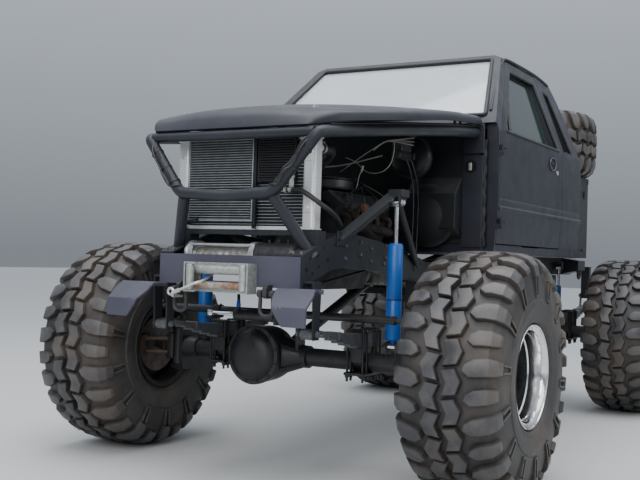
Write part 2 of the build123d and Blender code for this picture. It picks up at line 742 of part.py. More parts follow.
def tube_guard():
    """Bent tube round the nose and along the hood's edges, with a cross tube and two legs."""
    left = [(672, CAB_FRONT + 30, 1730), (668, 396, 1698), (592, -90, 1642), (462, -600, 1578), (255, -620, 1320)]
    route = left + [(-x, y, z) for x, y, z in reversed(left)]
    guard = tube(eased(route, 62), GUARD_R)
    cross = bar((-440, -594, 1580), (440, -594, 1580), GUARD_R - 2)
    guard = guard + cross
    for leg in both(bar((235, -612, 1322), (362, -480, 1060), GUARD_R)):
        guard = guard + leg
    for rail in both(side_plate(rail_side(), RAIL_OUT - RAIL_W, RAIL_OUT)):
        guard = guard - rail
    return (guard - box((-900, 900), (-900, 900), (1000, 1080))) & box((-900, 900), (-900, CAB_FRONT), (1000, 1900))


def winch_bumper():
    """Channel across the frame horns with the tray that carries the winch."""
    front = HORN_Y - BUMPER_T
    low, high = BUMPER_Z
    plate = box((-BUMPER_HALF, BUMPER_HALF), (front, HORN_Y), BUMPER_Z)
    slot = box((FAIRLEAD_X[0] + 45, FAIRLEAD_X[1] - 45), (front - 5, HORN_Y + 5), (low + 20, high - 48))
    inner = RAIL_OUT - RAIL_W
    tray = box((-inner, inner), (HORN_Y, WINCH_Y + 110), (WINCH_Z - 80, WINCH_Z - 70))
    tray -= box((FAIRLEAD_X[0] + 45, FAIRLEAD_X[1] - 45), (HORN_Y, HORN_Y + 90), (WINCH_Z - 90, WINCH_Z - 60))
    return plate - slot + tray


def bumper_wings():
    """Folded steps under the bumper's ends, each with a hollowed inner edge."""
    front = HORN_Y - BUMPER_T
    tip = front - WING_REACH
    fold = [(front, 895), (tip + 90, 905), (tip, 830), (tip, 750), (tip + 10, 750), (tip + 10, 824),
            (tip + 94, 893), (front, 883)]
    wing = side_plate(fold, 330, 532)
    hollow = bar((300, tip - 20, 745), (300, front - 20, 700), 110)
    brace = box((340, 500), (front, HORN_Y), (883, BUMPER_Z[0]))
    return pair(wing - hollow + (brace - side_plate(rail_side(), 0, RAIL_OUT)))


def winch():
    """Winch: motor and gear drums beside the rope drum, tied by two bars, and the drum itself."""
    low = WINCH_Z - 70
    foot_left = box((DRUM_X[1] + 4, DRUM_X[1] + 30), (WINCH_Y - 60, WINCH_Y + 60), (low, WINCH_Z + 60))
    foot_right = box((DRUM_X[0] - 30, DRUM_X[0] - 4), (WINCH_Y - 60, WINCH_Y + 60), (low, WINCH_Z + 60))
    motor = bar((DRUM_X[1] + 30, WINCH_Y, WINCH_Z + 5), (WINCH_HALF, WINCH_Y, WINCH_Z + 5), 62)
    gears = bar((-WINCH_HALF, WINCH_Y, WINCH_Z + 5), (DRUM_X[0] - 30, WINCH_Y, WINCH_Z + 5), 66)
    ties = [bar((DRUM_X[0] - 20, WINCH_Y + along, WINCH_Z + 52), (DRUM_X[1] + 20, WINCH_Y + along, WINCH_Z + 52), 8)
            for along in (-48, 48)]
    body = fused([foot_left, foot_right, motor, gears] + ties)
    drum = bar((DRUM_X[0] - 4, WINCH_Y, WINCH_Z), (DRUM_X[1] + 4, WINCH_Y, WINCH_Z), DRUM_R)
    return body, drum


def fairlead():
    """Roller fairlead: a back plate with cheeks, two long rollers and two upright ones."""
    front = HORN_Y - BUMPER_T
    x0, x1 = FAIRLEAD_X
    z0, z1 = FAIRLEAD_Z
    frame = box(FAIRLEAD_X, (front - 6, front), FAIRLEAD_Z)
    frame -= box((x0 + 45, x1 - 45), (front - 7, front + 1), (z0 + 45, z1 - 45))
    for x in (x0, x1 - 8):
        frame += box((x, x + 8), (front - FAIRLEAD_DEPTH, front - 6), FAIRLEAD_Z)
    upright_y = front - FAIRLEAD_DEPTH + UPRIGHT_R
    rollers = []
    for z in (z0 + 32, z1 - 32):
        rollers.append(bar((x0 + 8, ROLLER_Y, z), (x1 - 8, ROLLER_Y, z), ROLLER_R))
    inset = 30
    for x in (x0 + inset, x1 - inset):
        rollers.append(bar((x, upright_y, z0 + 8), (x, upright_y, z1 - 8), UPRIGHT_R))
        for z in (z0, z1 - 8):
            frame += box((x - inset, x + inset), (upright_y - UPRIGHT_R, upright_y + 10), (z, z + 8))
    return frame, Compound(rollers)


def winch_cable():
    """Rope from under the drum between the rollers to its hook under the right shackle's lug."""
    lug_x = SHACKLE_X[0]
    lug_y = HORN_Y - BUMPER_T - 30
    hook_z = LUG_Z[0] - HOOK_R
    gate = Vector(CABLE_X, ROLLER_Y, FAIRLEAD_Z[0] + 32 + ROLLER_R + CABLE_R + 2)
    way = (gate - Vector(CABLE_X, WINCH_Y, WINCH_Z - DRUM_R)).normalized()
    down = Vector(0, -way.Z, way.Y)
    start = Vector(CABLE_X, WINCH_Y, WINCH_Z) + down * (DRUM_R + CABLE_R + FIT / 2)
    route = [start, gate, (CABLE_X - 12, -684, gate.Z - 12), (lug_x + 50, -690, hook_z + 28),
             (lug_x, -676, hook_z + 14)]
    rope = tube(eased(route, 9), CABLE_R)
    bend = [(lug_x, -676, hook_z + 20), (lug_x, -676, hook_z), (lug_x, lug_y + 14, hook_z)]
    return rope + tube(eased(bend, 12), HOOK_R)


def tow_shackles():
    """Bow shackles hung on lugs under the bumper."""
    front = HORN_Y - BUMPER_T
    pieces = []
    for x in SHACKLE_X:
        y = front - 30
        lug = box((x - 10, x + 10), (y - 22, front), LUG_Z)
        bolt = bar((x - 44, y, 876), (x + 44, y, 876), SHACKLE_R)
        route = [(x - 32, y, 876), (x - 32, y, 782), (x + 32, y, 782), (x + 32, y, 876)]
        pieces.append(fused([lug, bolt, tube(eased(route, 24), SHACKLE_R)]))
    return Compound(pieces)


def side_x(z):
    """Outer half width of the cab at a height."""
    heights = ((CAB_BOTTOM, CAB_BOTTOM_X), (CREASE_Z, CREASE_X), (BELT_Z, BELT_X), (EAVES_Z, EAVES_X))
    for (z0, x0), (z1, x1) in zip(heights, heights[1:]):
        if z <= z1:
            return x0 + (x1 - x0) * (z - z0) / (z1 - z0)
    return EAVES_X


def crowned(start, top, steps):
    """Points of a shallow arch from a start over its top, without the two ends."""
    points = []
    for n in range(1, steps):
        share = 2 * n / steps - 1
        points.append((-share * start[0], start[1], top[2] - (top[2] - start[2]) * share ** 2))
    return points


def cab_section(wall_low, wall_high, roof_t, floor_t):
    """Front view of the cab, inset by its walls, as a face at the nose of the cab."""
    low = CAB_BOTTOM + floor_t
    right = [
        (side_x(low) - wall_low, low), (CREASE_X - wall_low, CREASE_Z), (BELT_X - wall_low, BELT_Z),
        (EAVES_X - wall_high, EAVES_Z - roof_t / 2), (EAVES_X - wall_high - 60, EAVES_Z + 28 - roof_t),
    ]
    points = [(x, 0, z) for x, z in right]
    mirrored = [(-x, 0, z) for x, z in reversed(right)]
    crown = crowned(points[-1], (0, 0, ROOF_Z - roof_t), CROWN_STEPS)
    return make_face(Polyline(*points, *crown, *mirrored, close=True).edges())


def cab_side(x):
    """Side view of the cab as a face at x."""
    points = [
        (CAB_FRONT, CAB_BOTTOM), (CAB_FRONT, COWL_Z), SCREEN_FOOT, SCREEN_HEAD, (1400, ROOF_Z + 2),
        (1950, ROOF_Z + 2), ROOF_REAR, BACK_SHOULDER, BACK_BELT, (CAB_BACK, CAB_BOTTOM),
    ]
    return make_face(Polyline(*[(x, y, z) for y, z in points], close=True).edges())


def cab_shell():
    """Whole cab as one hollow shell, before it is split into its panels."""
    outer = extrude(cab_section(0, 0, 0, 0), FAR, dir=(0, 1, 0))
    outer = outer & extrude(cab_side(-FAR), 2 * FAR, dir=(1, 0, 0))
    inner = extrude(cab_section(LOWER_WALL, UPPER_WALL, END_WALL, END_WALL), FAR, dir=(0, 1, 0))
    inner_side = offset(cab_side(-FAR), -END_WALL, kind=Kind.INTERSECTION)
    inner = inner & extrude(inner_side, 2 * FAR, dir=(1, 0, 0))
    return outer - inner


def at_skin(y, z):
    """Place of a door-line point on the plane of the waist, followed along the slanted jamb."""
    return (CREASE_X, y + DOOR_SLANT * (CREASE_X - side_x(z)), z)


def cab_core(deeper=0):
    """Space inside the side walls, carried the whole length of the cab."""
    face = cab_section(LOWER_WALL + deeper, UPPER_WALL + deeper, END_WALL, -END_WALL)
    return extrude(face, FAR, dir=(0, 1, 0))


def jamb_prism(points, grow=0):
    """Part of the left side wall inside an outline drawn on the skin, with slanted jambs."""
    face = make_face(Polyline(*[at_skin(y, z) for y, z in points], close=True).edges())
    if grow:
        face = offset(face, grow, kind=Kind.INTERSECTION)
    inward = Vector(-1, -DOOR_SLANT, 0)
    prism = extrude(face.moved(Location(inward * -60)), 400, dir=inward.normalized())
    return prism - cab_core(grow)


def door_line():
    return [
        (DOOR_FRONT, DOOR_BOTTOM), (DOOR_FRONT, BELT_Z), (1262, 2222), (1805, 2222),
        (DOOR_REAR, 1700), (DOOR_REAR, DOOR_BOTTOM),
    ]


def window_line():
    return [(860, BELT_Z + 12), (1290, 2165), (1742, 2165), (1835, BELT_Z + 12)]


def quarter_window_line():
    return [(1945, BELT_Z + 12), (1895, 2150), (2010, 2135), (2150, BELT_Z + 12)]


def side_glass(outline):
    """Left pane that follows the lean of the upper side, in the middle of the wall."""
    lean = [(BELT_X - 30, BELT_Z - 40), (EAVES_X - 26, EAVES_Z), (EAVES_X - 26 - GLASS_T, EAVES_Z),
            (BELT_X - 30 - GLASS_T, BELT_Z - 40)]
    return front_plate(lean, 600, 2400) & jamb_prism(outline)


def door(shell):
    """Left door with its window cut, the hinge knuckles on its front edge, and its glass."""
    panel = shell & jamb_prism(door_line())
    panel -= jamb_prism(window_line())
    for z in HINGE_HEIGHTS:
        barrel_z = (z + 0.5, z + HINGE_LEAF)
        barrel = post(HINGE_X, HINGE_Y, barrel_z, HINGE_R)
        leaf = box((side_x(z) - 4, HINGE_X + 2), (HINGE_Y + 6, HINGE_Y + 50), barrel_z)
        panel += barrel + leaf
        reach = 2 * HINGE_LEAF
        panel -= bore((HINGE_X, HINGE_Y, z - reach), (HINGE_X, HINGE_Y, z + reach), HINGE_PIN_R + FIT / 2)
    return panel, side_glass(window_line())


def door_hinge_pins():
    """Fixed half of each left door hinge, with its pin."""
    parts = []
    for z in HINGE_HEIGHTS:
        barrel_z = (z - HINGE_LEAF, z - 0.5)
        barrel = post(HINGE_X, HINGE_Y, barrel_z, HINGE_R)
        pin = post(HINGE_X, HINGE_Y, (z - HINGE_LEAF / 2, z + HINGE_LEAF + 6), HINGE_PIN_R)
        leaf = box((side_x(z) - 6, HINGE_X + 2), (PILLAR_FRONT, HINGE_Y - 4), barrel_z)
        parts.append(fused([barrel, pin, leaf]))
    return parts


def hood_hinge_bracket():
    """Left hood hinge: foot on the cowl, two cheeks and a pin on the hood's hinge line."""
    y, z = HOOD_REAR + HOOD_HINGE_BACK, HOOD_HINGE_Z
    x = HOOD_HINGE_X
    parts = [bar((x - 20, y, z), (x + 20, y, z), HOOD_PIN_R)]
    for side in (-20, 12):
        parts.append(box((x + side, x + side + 8), (y - 9, y + 12), (COWL_Z - 2, z + 8)))
    return fused(parts)


def screen_band():
    """Side-view band behind the windscreen's plane that belongs to the front frame."""
    y, z = SCREEN_FOOT
    outline = [(CAB_FRONT - 10, COWL_Z - 2), (y, z + 30), (1235, 2330), (1310, 2330), (1310, 2232), (830, COWL_Z - 2)]
    return side_plate(outline, -900, 900)


def screen_prism(inset, reach):
    """Windscreen opening, square to its plane."""
    foot = Vector(0, *SCREEN_FOOT)
    up = (Vector(0, *SCREEN_HEAD) - foot).normalized()
    plane = Plane(origin=foot, x_dir=(1, 0, 0), z_dir=Vector(1, 0, 0).cross(up))
    height = (Vector(0, *SCREEN_HEAD) - foot).length
    low_x = side_x(SCREEN_FOOT[1]) - inset - 20
    high_x = EAVES_X - inset
    outline = [(-low_x, inset), (low_x, inset), (high_x, height - inset), (-high_x, height - inset)]
    face = plane * make_face(Polyline(*outline, close=True).edges())
    return extrude(face.moved(Location(plane.z_dir * -reach[1])), reach[1] - reach[0], dir=plane.z_dir)


def cab():
    """Cab split where its panels meet, with doors and glass."""
    shell = cab_shell()
    front_cut = box((CREASE_X - LOWER_WALL, FAR), (0, PILLAR_FRONT), (0, COWL_Z))
    for piece in both(front_cut):
        shell -= piece
    sill = CAB_BOTTOM + END_WALL
    inner_front = CAB_FRONT + END_WALL
    floor = shell & box((-FAR, FAR), (0, FAR), (0, sill))
    above = shell - box((-FAR, FAR), (0, FAR), (0, sill))
    firewall = above & box((-FAR, FAR), (0, inner_front), (0, COWL_Z - 2))
    for piece in both(side_plate(TOE_BOARD, *TOE_BOARD_X)):
        firewall += piece
    for piece in both(box((FIREWALL_X, FAR), (0, FAR), (0, FAR))):
        firewall -= piece
    rest = above - box((-CREASE_X + LOWER_WALL, CREASE_X - LOWER_WALL), (0, inner_front), (0, COWL_Z - 2))
    band = screen_band()
    opening = pair(jamb_prism(door_line(), DOOR_GAP))
    frame = rest & (band + box((-FAR, FAR), (0, 1200), (0, COWL_Z)))
    back = (rest - band) & box((-POST_X, POST_X), (2000, FAR), (sill, EAVES_Z - 4))
    rest = rest - band - box((-FAR, FAR), (0, 1200), (0, COWL_Z)) - back
    roof = rest & box((-FAR, FAR), (1000, FAR), (EAVES_Z - 4, FAR))
    quarters = rest & box((0, FAR), (1500, FAR), (sill, EAVES_Z - 4))
    quarter = quarters - jamb_prism(door_line(), DOOR_GAP) - jamb_prism(quarter_window_line())
    frame = frame - opening
    roof = roof - opening
    post_out = CAB_BOTTOM_X - LOWER_WALL - 8
    pillar = box((post_out - 60, post_out), (inner_front, 800), (sill, COWL_Z - 2))
    for piece in both(pillar) + both(hood_hinge_bracket()):
        frame += piece
    for pin in door_hinge_pins():
        for piece in both(pin):
            frame += piece
    frame -= screen_prism(SCREEN_RIM, (-80, 80))
    rear_hole = box((-430, 430), (2000, 2500), (1740, 2110))
    back = back - rear_hole
    door_panel, door_pane = door(shell)
    quarter_pane = side_glass(quarter_window_line())
    rear_pane = rear_glass() & rear_hole
    return {
        "cab_floor": floor, "firewall": firewall, "front_frame": frame, "roof": roof, "back_wall": back,
        "quarter_left": quarter, "quarter_right": mirror(quarter, about=Plane.YZ),
        "door_left": door_panel, "door_right": mirror(door_panel, about=Plane.YZ),
        "door_glass_left": door_pane, "door_glass_right": mirror(door_pane, about=Plane.YZ),
        "windscreen": screen_prism(SCREEN_RIM, (12, 12 + GLASS_T)),
        "cab_glass": Compound(both(quarter_pane) + [rear_pane]),
    }


def rear_glass():
    """Leaning slab in the back wall's thickness."""
    lean = (BACK_BELT[0] - BACK_SHOULDER[0]) / (BACK_SHOULDER[1] - BACK_BELT[1])
    points = []
    for z in (1600, 2200):
        points.append((BACK_SHOULDER[0] + (BACK_SHOULDER[1] - z) * lean - 20, z))
    points += [(y - GLASS_T, z) for y, z in reversed(points)]
    return side_plate(points, -POST_X, POST_X)


def hood_ring(y, half, edge, crown):
    """Section of the hood: crowned top, cut shoulders and short side flanges."""
    shoulder = 55
    rise = edge + shoulder
    rings = []
    for inset in (0, HOOD_T):
        flank = (half - shoulder - inset * 0.4, y, rise - inset)
        skirt = (half - inset, y, rise - 0.55 * shoulder - inset * 0.4)
        left = [(half - inset, y, edge), skirt, flank]
        right = [(-x, y, z) for x, y, z in reversed(left)]
        rings.append(left + crowned(flank, (0, y, crown - inset), HOOD_STEPS) + right)
    return [Vector(point) for point in rings[0] + rings[1][::-1]]


def hood():
    """Crowned hood through a few sections, with its two hinge ears."""
    stations = (
        # y, half width, edge height, crown height
        (-612, 455, 1622, 1700),
        (-200, 655, 1672, 1775),
        (300, 702, 1738, 1836),
        (HOOD_REAR, 706, 1768, 1862),
    )
    shell = skinned([hood_ring(*row) for row in stations], twisted=True)
    y, z = HOOD_REAR + HOOD_HINGE_BACK, HOOD_HINGE_Z
    for x in (-HOOD_HINGE_X, HOOD_HINGE_X):
        ear = box((x - 8, x + 8), (HOOD_REAR - 50, y), (z - 6, z + 6)) + bar((x - 8, y, z), (x + 8, y, z), 10)
        shell += ear - bore((x - 9, y, z), (x + 9, y, z), HOOD_PIN_R + FIT / 2)
    return shell


def brake_booster():
    """Vacuum drum and master cylinder on the firewall."""
    x, z = 365, 1588
    drum = bar((x, CAB_FRONT - 190, z), (x, CAB_FRONT - 90, z), 118)
    stem = bar((x, CAB_FRONT - 90, z), (x, CAB_FRONT, z), 42)
    cylinder = bar((x, CAB_FRONT - 350, z), (x, CAB_FRONT - 190, z), 24)
    return fused([drum, stem, cylinder])


def bench_seat():
    """Bench with its backrest, as one soft shape on the floor."""
    y0, y1 = SEAT_Y
    floor = CAB_BOTTOM + END_WALL + FIT
    outline = [(y0, floor), (y0 + 20, floor + 290), (y1 - 190, floor + 270), (y1 - 90, floor + 760),
               (y1, floor + 750), (y1 - 60, floor)]
    return side_plate(outline, -SEAT_X, SEAT_X)


def dashboard():
    """Dash across the cab against the firewall, with the steering column's tube."""
    front = CAB_FRONT + END_WALL
    outline = [(front, 1540), (front + 150, 1520), (front + 240, 1620), (front + 230, 1690), (front + 60, 1718),
               (front, 1720)]
    half = CAB_BOTTOM_X - LOWER_WALL - 72
    dash = side_plate(outline, -half, half)
    end, way = column_line()
    return dash + bar(end - way * 330, end, 22)


def column_line():
    """Top end of the steering column and its direction."""
    way = Vector(0, 0.88, 0.475)
    return Vector(COLUMN_X, 1130, 1760), way.normalized()


def steering_wheel():
    """Rim, three spokes and hub on the column's end."""
    end, way = column_line()
    centre = end + way * 40
    place = Plane(origin=centre, x_dir=(1, 0, 0), z_dir=way)
    t = WHEEL_TUBE_R
    outer = ((-t, WHEEL_RIM_R), (-t / 2, WHEEL_RIM_R + t), (t / 2, WHEEL_RIM_R + t), (t, WHEEL_RIM_R))
    inner = ((t, WHEEL_RIM_R), (t / 2, WHEEL_RIM_R - t), (-t / 2, WHEEL_RIM_R - t), (-t, WHEEL_RIM_R))
    hoops = []
    for stations in (outer, inner):
        hoops.append(skinned([ring(centre + way * x, way, r, WHEEL_SIDES) for x, r in stations]))
    hub = bar(end + way * FIT, end + way * 50, 34)
    parts = [hoops[0] - hoops[1], hub]
    for angle in (0, 180, 270):
        spoke = place * Rot(0, 0, angle) * Pos(WHEEL_RIM_R / 2, 0, 0) * Box(WHEEL_RIM_R, 26, 8)
        parts.append(spoke)
    return fused(parts)


def carrier():
    """Steel box behind the cab that carries the spare wheel, standing on the rails."""
    return box((-CARRIER_X, CARRIER_X), CARRIER_Y, (TAIL_TOP, CARRIER_TOP))


def build():
    os.makedirs("parts", exist_ok=True)
    rail = frame_rail()
    arm = knuckle()
    ram_barrel, ram_rod = steering_ram()
    winch_body, winch_drum = winch()
    lead_frame, lead_rollers = fairlead()
    pieces = {
        "frame_rail_left": rail,
        "frame_rail_right": mirror(rail, about=Plane.YZ),
        "crossmembers": crossmembers(),
        "front_axle": front_axle(),
        "rear_axle": rear_axle(),
        "front_springs": springs(FRONT_SPRING_X, 0, FRONT_SPRING_HALF),
        "rear_springs": springs(REAR_SPRING_X, WHEELBASE, REAR_SPRING_HALF),
        "front_shocks": pair(shock(SHOCK_X, 0, SHOCK_EYE_Z, SHOCK_TOP_Z, SHOCK_BODY_Z, SHOCK_R)),
        "rear_shocks": pair(shock(REAR_SHOCK_X, WHEELBASE, SHOCK_EYE_Z, REAR_SHOCK_TOP_Z, REAR_SHOCK_BODY_Z,
                                  REAR_SHOCK_R)),
        "shock_towers": pair(shock_tower()),
        "knuckle_left": arm,
        "knuckle_right": mirror(arm, about=Plane.YZ),
        "tie_rod": tie_rod(),
        "steering_ram": ram_barrel,
        "steering_ram_rod": ram_rod,
        "engine": engine(),
        "gearbox": gearbox(),
        "propeller_shafts": propeller_shafts(),
        "exhaust": exhaust(),
        "radiator": radiator(),
        "oil_cooler": oil_cooler(),
        "tube_guard": tube_guard(),
        "winch_bumper": winch_bumper(),
        "bumper_wings": bumper_wings(),
        "winch": winch_body,
        "winch_drum": winch_drum,
        "fairlead": lead_frame,
        "fairlead_rollers": lead_rollers,
        "tow_shackles": tow_shackles(),
        "winch_cable": winch_cable(),
        "hood": hood(),
        "brake_booster": brake_booster(),
        "bench_seat": bench_seat(),
        "dashboard": dashboard(),
        "steering_wheel": steering_wheel(),
        "spare_carrier": carrier(),
    }
    pieces.update(cab())
    pieces.update(wheels())
    for name, solid in pieces.items():
        export_step(Pos(0, FRONT_AXLE_Y, 0) * solid, f"parts/{name}.step")


build()
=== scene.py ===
import bpy
import bmesh
from math import cos, pi, radians, sin
from mathutils import Matrix, Vector


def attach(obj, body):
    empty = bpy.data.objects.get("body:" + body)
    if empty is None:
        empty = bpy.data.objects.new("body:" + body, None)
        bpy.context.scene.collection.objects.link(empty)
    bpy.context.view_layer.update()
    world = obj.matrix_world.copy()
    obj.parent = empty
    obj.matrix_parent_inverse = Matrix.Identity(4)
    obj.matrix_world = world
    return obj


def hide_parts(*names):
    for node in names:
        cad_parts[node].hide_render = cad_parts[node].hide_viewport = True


# Metres, in the frame of the CAD model: nose to -Y, the truck's left to +X, ground at Z = 0.
# Places along the truck are measured from the front axle, as in the part's source.
AXLE_Y = -1.4485
WHEELBASE = 3.13
AXLE_Z = 0.547
FRONT_WHEEL_X = 1.02
REAR_WHEEL_X = 0.955
SPARE_AT = (0.15, 3.03, 1.935)
KINGPIN_X = 0.715
FRONT_SPRING_X = 0.400
REAR_SPRING_X = 0.500
FRONT_SHOCK_X = 0.552
REAR_SHOCK_X = 0.425
SIDES = ((1, "left"), (-1, "right"))
# A turned shape closes round its own axis at this radius
CORE = 0.0005

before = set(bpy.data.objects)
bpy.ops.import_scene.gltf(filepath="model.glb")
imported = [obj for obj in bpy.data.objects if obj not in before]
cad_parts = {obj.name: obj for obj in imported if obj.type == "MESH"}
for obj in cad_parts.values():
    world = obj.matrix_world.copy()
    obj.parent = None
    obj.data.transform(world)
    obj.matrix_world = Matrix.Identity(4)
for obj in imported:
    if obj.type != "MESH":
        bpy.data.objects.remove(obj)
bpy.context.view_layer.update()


# Camera, lights and floor

def place_camera():
    """Camera of the photograph, seen from the truck's left front corner."""
    yaw, pitch, roll = radians(30.097), radians(1.086), radians(1.774)
    ahead = Vector((-sin(yaw) * cos(pitch), cos(yaw) * cos(pitch), sin(pitch)))
    right = Vector((cos(yaw), sin(yaw), 0))
    up = right.cross(ahead)
    side = cos(roll) * right + sin(roll) * up
    top = cos(roll) * up - sin(roll) * right
    lens = bpy.data.cameras.new("photo_camera")
    lens.lens = 54.507
    lens.sensor_width = 36
    lens.clip_end = 200
    camera = bpy.data.objects.new("photo_camera", lens)
    camera.matrix_world = Matrix.Translation(at(2.542, -4.149, 1.037)) @ (
        Matrix((side, top, -ahead)).transposed().to_4x4())
    bpy.context.collection.objects.link(camera)
    bpy.context.scene.camera = camera


def at(x, y, z):
    """Point measured from the front axle, in the truck's frame."""
    return Vector((x, y + AXLE_Y, z))


def soft_light(name, place, target, size, power):
    lamp = bpy.data.lights.new(name, "AREA")
    lamp.size = size
    lamp.energy = power
    light = bpy.data.objects.new(name, lamp)
    light.location = place
    light.rotation_euler = (Vector(target) - Vector(place)).to_track_quat("-Z", "Y").to_euler()
    bpy.context.collection.objects.link(light)


def studio():
    """Pale floor, bright overcast surroundings and three soft lights."""
    world = bpy.data.worlds.new("overcast")
    bpy.context.scene.world = world
    world.use_nodes = True
    tree = world.node_tree
    sky = tree.nodes["Background"]
    sky.inputs["Color"].default_value = (0.82, 0.9, 1.0, 1)
    height = tree.nodes.new("ShaderNodeSeparateXYZ")
    tree.links.new(tree.nodes.new("ShaderNodeTexCoord").outputs["Object"], height.inputs[0])
    overcast = tree.nodes.new("ShaderNodeMapRange")
    for name, value in (("From Min", 0.0), ("From Max", 0.75), ("To Min", 0.27), ("To Max", 1.2)):
        overcast.inputs[name].default_value = value
    tree.links.new(height.outputs["Z"], overcast.inputs["Value"])
    tree.links.new(overcast.outputs["Result"], sky.inputs["Strength"])
    soft_light("sky_panel", (0.5, -1.5, 8.5), (0, 0, 1), 8, 760)
    soft_light("front_panel", (1.5, -8.0, 4.5), (0, -1, 1), 5, 300)
    soft_light("left_panel", (8.0, 0.0, 4.0), (0, 0, 1), 5, 130)
    bm = bmesh.new()
    bmesh.ops.create_grid(bm, x_segments=1, y_segments=1, size=40)
    mesh = bpy.data.meshes.new("floor")
    bm.to_mesh(mesh)
    bm.free()
    mesh.materials.append(flat_finish("pale_floor", (0.5, 0.5, 0.49), 0.85))
    floor = bpy.data.objects.new("floor", mesh)
    bpy.context.collection.objects.link(floor)


# Finishes

class Finish:
    """A material with short helpers for its nodes."""

    def __init__(self, name):
        self.material = bpy.data.materials.new(name)
        self.material.use_nodes = True
        self.tree = self.material.node_tree
        self.shader = self.tree.nodes["Principled BSDF"]
        self.where = self.node("ShaderNodeTexCoord").outputs["Object"]

    def node(self, kind, **settings):
        made = self.tree.nodes.new(kind)
        for key, value in settings.items():
            setattr(made, key, value)
        return made

    def link(self, source, target):
        self.tree.links.new(source, target)

    def noise(self, scale, detail=5, rough=0.6, stretch=None):
        """Noise over the object, stretched along an axis where asked."""
        made = self.node("ShaderNodeTexNoise")
        made.inputs["Scale"].default_value = scale
        made.inputs["Detail"].default_value = detail
        made.inputs["Roughness"].default_value = rough
        start = self.where
        if stretch:
            mapping = self.node("ShaderNodeMapping")
            mapping.inputs["Scale"].default_value = stretch
            self.link(self.where, mapping.inputs["Vector"])
            start = mapping.outputs["Vector"]
        self.link(start, made.inputs["Vector"])
        return made.outputs["Fac"]

    def waves(self, direction, scale, profile="SIN", distort=0.0):
        made = self.node("ShaderNodeTexWave", wave_type="BANDS", bands_direction=direction,
                         wave_profile=profile)
        made.inputs["Scale"].default_value = scale
        made.inputs["Distortion"].default_value = distort
        self.link(self.where, made.inputs["Vector"])
        return made.outputs["Fac"]

    def spread(self, source, low, high, out_low, out_high):
        """Maps a pattern's span from low to high onto another span."""
        made = self.node("ShaderNodeMapRange")
        for name, value in (("From Min", low), ("From Max", high), ("To Min", out_low), ("To Max", out_high)):
            made.inputs[name].default_value = value
        self.link(source, made.inputs["Value"])
        return made.outputs["Result"]

    def tint(self, base, other, amount):
        """Mixes two colours, each a tuple or another node's output, by a pattern."""
        made = self.node("ShaderNodeMix", data_type="RGBA")
        for socket, colour in ((made.inputs[6], base), (made.inputs[7], other)):
            if isinstance(colour, tuple):
                socket.default_value = (*colour, 1)
            else:
                self.link(colour, socket)
        self.link(amount, made.inputs[0])
        return made.outputs[2]

    def upward(self, low, high):
        """One where the surface faces up, zero where it faces sideways or down."""
        normal = self.node("ShaderNodeNewGeometry").outputs["Normal"]
        parts = self.node("ShaderNodeSeparateXYZ")
        self.link(normal, parts.inputs[0])
        return self.spread(parts.outputs["Z"], low, high, 0.0, 1.0)

    def product(self, a, b):
        made = self.node("ShaderNodeMath", operation="MULTIPLY")
        for socket, value in zip(made.inputs, (a, b)):
            if isinstance(value, float):
                socket.default_value = value
            else:
                self.link(value, socket)
        return made.outputs[0]

    def relief(self, pattern, height, strength=1.0):
        bump = self.node("ShaderNodeBump")
        bump.inputs["Strength"].default_value = strength
        bump.inputs["Distance"].default_value = height
        self.link(pattern, bump.inputs["Height"])
        self.link(bump.outputs["Normal"], self.shader.inputs["Normal"])

    def colour(self, source):
        self.link(source, self.shader.inputs["Base Color"])

    def roughness(self, source):
        self.link(source, self.shader.inputs["Roughness"])

    def set(self, **values):
        for key, value in values.items():
            self.shader.inputs[key.replace("_", " ")].default_value = value
        return self


def flat_finish(name, colour, rough):
    """Even finish of the studio floor."""
    made = Finish(name)
    made.colour(made.tint(colour, tuple(c * 0.97 for c in colour), made.noise(0.8)))
    made.set(Roughness=rough)
    return made.material


def painted(name, colour, worn, rough, dust=(0.16, 0.155, 0.15), dusty=0.3, orange_peel=0.0004, patch=3.2,
            scuffs=0.62):
    """Brushed or sprayed paint: uneven tone, scuffs, settled dust and a little orange peel."""
    made = Finish(name)
    tone = made.spread(made.noise(patch, 6), 0.32, 0.7, 0.0, 1.0)
    base = made.tint(colour, worn, tone)
    rubbed = made.spread(made.noise(23, 9, 0.72), scuffs, scuffs + 0.1, 0.0, 0.45)
    base = made.tint(base, tuple(min(1.0, 1.9 * c + 0.012) for c in worn), rubbed)
    settled = made.product(made.upward(0.25, 0.95), made.spread(made.noise(7, 7), 0.3, 0.75, 0.0, dusty))
    made.colour(made.tint(base, dust, settled))
    made.roughness(made.spread(made.noise(9, 6), 0.25, 0.75, rough - 0.08, rough + 0.14))
    made.relief(made.noise(190, 2), orange_peel, 0.5)
    made.set(Specular_IOR_Level=0.36)
    return made.material


def cast_metal(name, colour, oily, rough, metal=0.3, grain=0.0015):
    """Cast or forged iron with oily dirt in patches."""
    made = Finish(name)
    grime = made.spread(made.noise(11, 8, 0.7), 0.38, 0.66, 0.0, 1.0)
    made.colour(made.tint(colour, oily, grime))
    made.roughness(made.spread(made.noise(15, 5), 0.3, 0.7, rough - 0.14, rough + 0.14))
    made.relief(made.noise(120, 4), grain, 0.6)
    made.set(Metallic=metal)
    return made.material


def bare_metal(name, colour, dull, rough, stretch=None, metal=1.0, patch=30, grain=0.0002):
    """Bare or plated metal, brushed along an axis where asked."""
    made = Finish(name)
    streaks = made.noise(patch, 5, 0.65, stretch)
    made.colour(made.tint(colour, dull, made.spread(streaks, 0.35, 0.72, 0.0, 1.0)))
    made.roughness(made.spread(streaks, 0.25, 0.75, max(0.04, rough - 0.09), rough + 0.12))
    made.relief(streaks, grain, 0.5)
    made.set(Metallic=metal)
    return made.material


